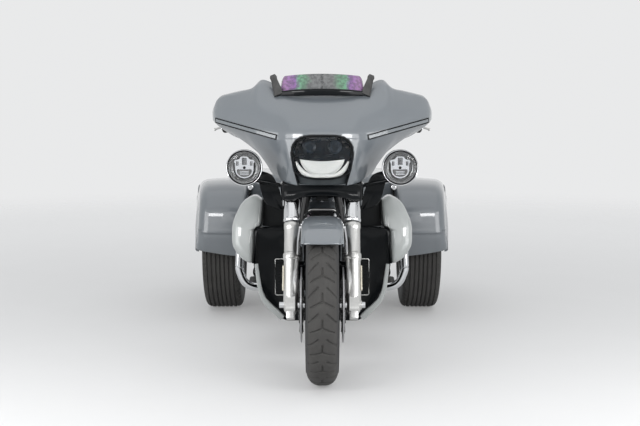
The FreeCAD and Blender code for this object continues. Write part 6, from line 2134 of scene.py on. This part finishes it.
axleProfile = ((-516, 0), (-516, 58), (-482, 58), (-478, 44), (-470, 38), (-134, 38), (-122, 48), (-72, 90),
               (-64, 92), (34, 92), (40, 88), (42, 40), (58, 38), (60, 86), (64, 86), (64, 82), (86, 82), (86, 86),
               (90, 86), (92, 40), (470, 38), (478, 44), (482, 58), (516, 58), (516, 0))
axleBody = lathed(rounded(np.array(axleProfile) / 1000, 0.0035, 3), rearAxle, count=88)
axleBolts = copiesAround(boltHeads([(0, 0, 0.080)], 0.0062, 0.040, 0.006), 10)
flangeBolts = copiesAround(boltHeads([(0, 0, 0.049)], 0.0058, 0.476, 0.006), 6)
axleRibs = copiesAround(plate(((-0.118, 0.040), (-0.070, 0.086), (-0.066, 0.040)), -0.003, 0.003, "XZ", 0.0005), 8)
piece("axleHousing", gather(axleBody, moved(axleRibs, rearAxle)), enamel, "chassis", ["rear_axle_housing"],
      sharp=35)
piece("axleBolts", moved(gather(axleBolts, bothSides(flangeBolts)), rearAxle), aluminium, sharp=35)

armOutline, armMiddle = closedPoly(((196, 326), (200, 372), (470, 392), (684, 387), (710, 325), (674, 271),
                                    (594, 295), (380, 318)), 0.018, 200)
armRows = ((0.0, 0.166), (0.90, 0.166), (0.93, 0.164), (0.99, 0.164), (1.0, 0.167), (1.0, 0.193), (0.99, 0.196),
           (0.93, 0.196), (0.90, 0.191), (0.0, 0.191))
pivots = lathed(rounded([(0.154, 0.0), (0.154, 0.021), (0.202, 0.021), (0.206, 0.014), (0.206, 0.0)], 0.003),
                (0, 0.222, 0.348), count=36)
caps = lathed(rounded([(0.192, 0.044), (0.201, 0.042), (0.203, 0.034), (0.203, 0.0)], 0.003), rearAxle, count=48)
piece("swingArms", bothSides(gather(stacked(armOutline, armRows, armMiddle), pivots, caps)), enamel, "chassis",
      ["rear_suspension"], sharp=35)


def shockParts(foot, head):
    # along Z first: body, rod and spring seats as one, and a coil spring; then turned onto its own line
    foot, head = np.array(foot) / 1000, np.array(head) / 1000
    length = np.linalg.norm(head - foot)
    body = lathed(rounded([(0.004, 0.0), (0.004, 0.010), (0.045, 0.010), (0.046, 0.020), (0.120, 0.021),
                           (0.200, 0.021), (0.202, 0.031), (0.210, 0.031), (0.214, 0.012), (length - 0.004, 0.012),
                           (length - 0.004, 0.0)], 0.002), (0, 0, 0), axis="Z", count=36)
    seat = lathed(rounded([(0.044, 0.012), (0.044, 0.031), (0.051, 0.031), (0.051, 0.012)], 0.001), (0, 0, 0),
                  axis="Z", count=36)
    t = np.linspace(0, 1, 380)
    helix = np.stack((0.0265 * np.cos(t * 13 * math.pi), 0.0265 * np.sin(t * 13 * math.pi),
                      0.053 + 0.146 * t), axis=1)
    spring = swept(helix, ring(0.0042, 10))
    w = (head - foot) / length
    u = np.cross((0, 1, 0), w)
    u /= np.linalg.norm(u)
    turn = np.stack((u, np.cross(w, u), w))
    return [(points @ turn + foot, quads) for points, quads in (gather(body, seat), spring)]


shockBody, spring = shockParts((180, 440, 390), (150, 400, 632))
piece("shockBodies", bothSides(shockBody), chrome, sharp=35)
piece("shockSprings", bothSides(spring), enamel, sharp=50)
print("exhaust, boards and drive made")


# tank and side covers

# stations in millimetres: y, half width, bottom, top
tankTable = ((-486, 62, 756, 836), (-420, 118, 722, 862), (-260, 150, 706, 876), (-90, 132, 698, 856),
             (14, 88, 700, 800))


def lofted(table, rows, around, powers):
    # squarish ovals carried through a table of stations, drawn in at both ends to round caps
    table = np.array(table, float) / 1000
    t = np.sin(np.linspace(-1, 1, rows) * math.pi / 2)
    y = table[0, 0] + (table[-1, 0] - table[0, 0]) * (t + 1) / 2
    half, low, high = blendRows(table[:, 0], table[:, 1:], y).T
    close = (1 - np.abs(t) ** 10) ** 0.5
    a = np.linspace(0, 2 * math.pi, around, endpoint=False)
    c, s = np.cos(a), np.sin(a)
    side = np.sign(c) * np.abs(c) ** powers[0]
    up = np.sign(s) * np.abs(s) ** powers[1]
    middle, reach = (low + high) / 2, (high - low) / 2
    x = half[:, None] * close[:, None] * side
    z = middle[:, None] + reach[:, None] * close[:, None] * up
    return grid(np.stack((x, np.broadcast_to(y[:, None], x.shape), z), axis=-1), closeV=True)


def tankConsole():
    # a black strip with rounded edges down the middle of the tank
    y = np.linspace(-0.400, -0.010, 50)
    table = np.array(tankTable) / 1000
    top = blendRows(table[:, 0], table[:, 3:], y)[:, 0]
    line = np.column_stack((np.zeros(50), y, top - 0.004))
    wide = 0.040 * (1 - np.abs(np.linspace(-1, 1, 50)) ** 6) ** 0.5 + 0.002
    return swept(line, roundBox(1.0, 0.17, 0.16, 6), scale=wide)


lid = lathed(rounded([(0.870, 0.0), (0.870, 0.031), (0.8845, 0.031), (0.8875, 0.027),
                      (0.8885, 0.012), (0.8860, 0.0)], 0.002), (0, -0.275, 0), axis="Z", count=56)
knurl = copiesAround(plate(roundBox(0.0008, 0.0012, 0.0006, 2) + (0, 0.0312), 0.873, 0.882, "XY", 0.0003), 48,
                     axis=(0, 0, 1))
piece("fuelTank", lofted(tankTable, 90, 96, (0.72, 0.72)), paint, "chassis", ["fuel_tank"], sharp=60)
piece("tankConsole", tankConsole(), plastic, sharp=50)
piece("tankLid", gather(lid, moved(knurl, (0, -0.275, 0))), chrome)

coverOutline, coverMiddle = closedPoly(((76, 474), (250, 440), (330, 520), (340, 640), (96, 636)), 0.034, 160)
coverRows = ((0.97, 0.150), (1.0, 0.150), (1.0, 0.156), (0.985, 0.1600), (0.93, 0.1625), (0.90, 0.1622),
             (0.86, 0.1650), (0.50, 0.1675), (0.0, 0.168))
piece("sideCovers", bothSides(stacked(coverOutline, coverRows, coverMiddle)), paint, "chassis", ["side_covers"],
      sheet=True, thick=0.003)


# seats

riderTable = ((18, 78, 706, 758), (70, 118, 688, 746), (110, 142, 672, 736), (230, 168, 668, 724),
              (290, 169, 670, 744), (330, 164, 674, 772))
padSpec = {"voxel": 0.0055, "pressure": 4.0, "held": 0.012, "frames": 20, "travel": 0.009, "seamDeep": 0.0045,
           "seamWide": 0.0042, "pitch": 0.0075}
passengerTable = ((332, 142, 690, 796), (380, 148, 694, 812), (440, 151, 698, 818), (540, 147, 738, 816),
                  (600, 141, 746, 816), (676, 96, 748, 790))


def evaluated(obj):
    # the object's mesh as its modifiers leave it
    bpy.context.view_layer.update()
    return bpy.data.meshes.new_from_object(obj.evaluated_get(bpy.context.evaluated_depsgraph_get()))


def coordinates(mesh):
    # every vertex as one array
    flat = np.empty(len(mesh.vertices) * 3)
    mesh.vertices.foreach_get("co", flat)
    return flat.reshape(-1, 3)


def puffed(obj, spec):
    # the pad is remeshed evenly, its underside held, blown up as cloth with each point's travel capped, and
    # subdivided once
    even = obj.modifiers.new("even", "REMESH")
    even.mode, even.voxel_size, even.use_smooth_shade = "VOXEL", spec["voxel"], True
    mesh = evaluated(obj)
    obj.modifiers.clear()
    obj.data = mesh
    start = coordinates(mesh)
    hold = obj.vertex_groups.new(name="hold")
    low = np.flatnonzero(start[:, 2] < start[:, 2].min() + spec["held"])
    hold.add(low.tolist(), 1.0, "REPLACE")
    cloth = obj.modifiers.new("cloth", "CLOTH")
    cloth.settings.use_pressure = True
    cloth.settings.uniform_pressure_force = spec["pressure"]
    cloth.settings.effector_weights.gravity = 0
    cloth.settings.vertex_group_mass = "hold"
    for number in range(1, spec["frames"] + 1):
        bpy.context.scene.frame_set(number)
    blown = coordinates(evaluated(obj))
    obj.modifiers.clear()
    bpy.context.scene.frame_set(1)
    travel = blown - start
    far = np.linalg.norm(travel, axis=1, keepdims=True)
    end = start + travel * np.minimum(1, spec["travel"] / np.maximum(far, 1e-9))
    mesh.vertices.foreach_set("co", end.ravel())
    fine = obj.modifiers.new("fine", "SUBSURF")
    fine.levels = fine.render_levels = 1
    obj.data = evaluated(obj)
    obj.modifiers.clear()
    obj.data.shade_smooth()


def sewn(obj, channels, spec):
    # each channel is a line (x, y) run over the top: points sink as a bell curve of their distance from it
    mesh = obj.data
    co = coordinates(mesh)
    normals = np.empty(len(co) * 3)
    mesh.vertices.foreach_get("normal", normals)
    facing = np.clip((normals.reshape(-1, 3)[:, 2] - 0.15) / 0.3, 0, 1)
    sink = np.zeros(len(co))
    for line in channels:
        a, b = line[:-1], line[1:]
        run = b - a
        p = co[:, None, :2] - a[None]
        t = np.clip((p * run).sum(-1) / (run ** 2).sum(-1), 0, 1)
        near = np.linalg.norm(p - t[..., None] * run, axis=-1).min(axis=1)
        sink = np.maximum(sink, spec["seamDeep"] * np.exp(-(near / spec["seamWide"]) ** 2))
    co[:, 2] -= sink * facing
    mesh.vertices.foreach_set("co", co.ravel())
    mesh.update()


def onTop(obj, line):
    # the line's points set on the pad's top: the highest point within 5 mm of each
    co = coordinates(obj.data)
    near = np.linalg.norm(co[None, :, :2] - line[:, None], axis=-1) < 0.005
    z = np.where(near, co[None, :, 2], -1).max(axis=1)
    return np.column_stack((line, z))


def stitches(obj, lines, pitch):
    # short raised threads, nose to tail along each line
    arch = np.column_stack((np.zeros(5), np.linspace(-0.0026, 0.0026, 5),
                            0.0007 * np.array((0.2, 0.9, 1, 0.9, 0.2))))
    stitch, shapes = swept(arch, ring(0.0006, 6)), []
    for line in lines:
        length = np.linalg.norm(np.diff(line, axis=0), axis=1).sum()
        at = onTop(obj, evenly(line, max(int(length / pitch), 3)))
        turn = np.arctan2(*np.gradient(at[:, :2], axis=0).T)
        for place, angle in zip(at, turn):
            shapes.append(moved(turnedShape(stitch, -math.degrees(angle), (0, 0, 1)), place))
    return gather(*shapes)


def seatLines(table, inset, ys, reach):
    # two long seams down the sides and cross channels between them, bowed forward in the middle
    table = np.array(table, float) / 1000
    y = np.linspace(*reach, 40)
    half = blendRows(table[:, 0], table[:, 1:2], y)[:, 0] - inset
    sides = [np.column_stack((side * half, y)) for side in (1, -1)]
    cross = []
    for at in ys:
        wide = np.interp(at, y, half)
        x = np.linspace(-wide, wide, 40)
        cross.append(np.column_stack((x, at + 0.012 * (1 - (x / wide) ** 2))))
    return sides, cross


def seatPad(name, table, node, inset, ys, reach):
    # a lofted pad, puffed and sewn, with threads each side of its long seams and a cord in them
    pad = piece(name, lofted(table, 70, 80, (0.50, 0.62)), leather, "chassis", [node], sharp=60)
    puffed(pad, padSpec)
    sides, cross = seatLines(table, inset, ys, reach)
    sewn(pad, sides + cross, padSpec)
    doubled = [line + (side * 0.0055, 0) for line in sides for side in (1, -1)]
    threads = stitches(pad, doubled, padSpec["pitch"])
    piece(name + "Threads", threads, thread, sharp=60)
    cord = [onTop(pad, evenly(line, 60)) + (0, 0, 0.0008) for line in sides]
    piece(name + "Cords", gather(*[swept(line, ring(0.0024, 10)) for line in cord]), rubber, sharp=60)


def waxedThread():
    # grey thread with a fine twist along its length
    f = Finish("waxedThread")
    ply = (f.split(f.place())[1] * 9000).sine()
    colour = f.mixed(f.noise(300), (0.16, 0.16, 0.165), (0.24, 0.24, 0.245))
    return f.shader(colour, 0.6, Normal=f.bump(ply, 0.4, 0.0002))


thread = waxedThread()
seatPad("riderSeat", riderTable, "rider_seat", 0.034, (0.110, 0.165, 0.220, 0.275), (0.075, 0.305))
seatPad("passengerSeat", passengerTable, "passenger_seat", 0.030, (0.400, 0.455, 0.510, 0.565), (0.365, 0.630))


def seatBase():
    # the moulded pan that carries the passenger's pad over the frame rails
    rows = ((0.0, 0.667), (0.97, 0.667), (1.0, 0.670), (1.04, 0.690), (1.12, 0.706), (0.0, 0.706))
    return stacked(roundBox(0.118, 0.096, 0.030, 7) + (0, 0.424), rows, (0.0, 0.424), "XY")


piece("seatBase", seatBase(), plastic)
print("tank and seats made")


# CAD pieces whose own shape is right, given their finish

keptNodes = {"front_axle": chrome, "triple_clamps": gloss, "headlight_housing": gloss, "handlebar": chrome,
             "frame": enamel, "rear_axle_housing": enamel}
for name, part in frame["nodes"].items():
    finish = keptNodes.get(name, plastic)
    if part.material_slots:
        for socket in part.material_slots:
            socket.material = finish
    else:
        part.data.materials.append(finish)
print("CAD pieces finished")


# floor, backdrop, light and camera

stageSpec = {"radius": 11.0, "fadeFrom": 4.5, "fadeTo": 9.0}


def floorDisc(spec):
    # a flat disc in rings, closed on its middle
    a = np.linspace(0, 2 * math.pi, 96, endpoint=False)
    r = np.linspace(0, spec["radius"], 12)[:, None]
    flat = np.stack((r * np.cos(a), r * np.sin(a), np.zeros((12, 96))), axis=-1)
    return grid(flat, closeV=True)


def paleSurface():
    # a pale floor that fades out to the backdrop with distance; it glows a little for the camera and for what metal
    # and glass show, a painted light that grows with distance and drops to nothing towards the front, and its
    # colour is darker towards the front, a painted shade
    f = Finish("paleSurface")
    x, y = f.split(f.place())[:2]
    far = (x * x + y * y) ** 0.5
    seen = f.node("LightPath")
    for ray in ("Is Glossy Ray", "Is Transmission Ray"):
        seen = seen.most(f.node("LightPath", out=ray))
    # painted light: the glow rises with distance from the middle to even out the lamps' fall-off, and fades out
    # towards the front
    paintedGlowLift = seen * far.rise(1.2, 5.2, 0.20, 0.32) * y.rise(-3.8, -1.8, 0.0, 1.0)
    glow = f.node("CombineColor", None, {0: paintedGlowLift, 1: paintedGlowLift, 2: paintedGlowLift})
    # painted shade: the floor's colour is darker towards the front, where the front lamp lights it most
    tone = y.rise(-6.0, -1.8, 0.44, 0.53) + f.noise(3) * 0.02
    return f.shader(f.node("CombineColor", None, {0: tone, 1: tone, 2: tone}), 0.9, Emission_Color=glow,
                    Emission_Strength=1.0, Alpha=far.rise(stageSpec["fadeFrom"], stageSpec["fadeTo"], 1.0, 0.0))


points, quads = floorDisc(stageSpec)
mesh = bpy.data.meshes.new("floor")
mesh.from_pydata(points.tolist(), [], quads.tolist())
mesh.shade_smooth()
mesh.materials.append(paleSurface())
floor = bpy.data.objects.new("floor", mesh)
bpy.context.collection.objects.link(floor)

worldSpec = {"light": ((0.93, 0.95, 0.97), 0.70), "seen": ((0.815, 0.82, 0.825), 1.0)}
world = bpy.data.worlds.new("studio")
world.use_nodes = True
tree = world.node_tree
tree.nodes.clear()
shades = []
for colour, strength in worldSpec.values():
    shade = tree.nodes.new("ShaderNodeBackground")
    shade.inputs["Color"].default_value, shade.inputs["Strength"].default_value = (*colour, 1), strength
    shades.append(shade)
# lights the object one way and shows a plain backdrop to the camera, straight or through metal and glass
path, choice = tree.nodes.new("ShaderNodeLightPath"), tree.nodes.new("ShaderNodeMixShader")
seen = path.outputs["Is Camera Ray"]
for ray in ("Is Glossy Ray", "Is Transmission Ray"):
    most = tree.nodes.new("ShaderNodeMath")
    most.operation = "MAXIMUM"
    tree.links.new(seen, most.inputs[0])
    tree.links.new(path.outputs[ray], most.inputs[1])
    seen = most.outputs[0]
tree.links.new(seen, choice.inputs[0])
tree.links.new(shades[0].outputs[0], choice.inputs[1])
tree.links.new(shades[1].outputs[0], choice.inputs[2])
tree.links.new(choice.outputs[0], tree.nodes.new("ShaderNodeOutputWorld").inputs["Surface"])
bpy.context.scene.world = world

# name, place, aimed at, size, watts
softLights = (
    ("overhead", (0.0, -0.9, 4.6), (0.0, -0.3, 0.5), (6.0, 6.0), 44),
    ("leftWall", (2.5, -2.6, 0.95), (0.0, -0.7, 0.6), (2.0, 1.8), 42),
    ("rightWall", (-2.5, -2.6, 0.95), (0.0, -0.7, 0.6), (2.0, 1.8), 42),
    ("frontFill", (0.0, -9.5, 3.4), (0.0, 0.0, 0.5), (4.2, 2.0), 32),
    ("leftCard", (1.3, -2.9, 1.5), (0.30, -0.65, 0.60), (0.8, 0.30), 12),
    ("rightCard", (-1.3, -2.9, 1.5), (-0.30, -0.65, 0.60), (0.8, 0.30), 12),
)
for name, place, aim, size, watts in softLights:
    lamp = bpy.data.lights.new(name, "AREA")
    lamp.shape, lamp.size, lamp.size_y, lamp.energy = "RECTANGLE", size[0], size[1], watts
    holder = bpy.data.objects.new(name, lamp)
    holder.location, holder.visible_camera = place, False
    back = np.subtract(place, aim)
    holder.rotation_mode = "QUATERNION"
    holder.rotation_quaternion = Vector(-back).to_track_quat("-Z", "Y")
    bpy.context.collection.objects.link(holder)

cameraSpec = {"place": (-0.009, -5.2364, 1.1153), "down": 5.80, "lens": 60.39}
view = bpy.data.cameras.new("camera")
view.lens, view.sensor_width = cameraSpec["lens"], 36
camera = bpy.data.objects.new("camera", view)
camera.location = cameraSpec["place"]
camera.rotation_euler = (math.radians(90 - cameraSpec["down"]), 0, 0)
bpy.context.collection.objects.link(camera)
bpy.context.scene.camera = camera
bpy.context.scene.view_settings.view_transform = "Standard"
print("stage set")
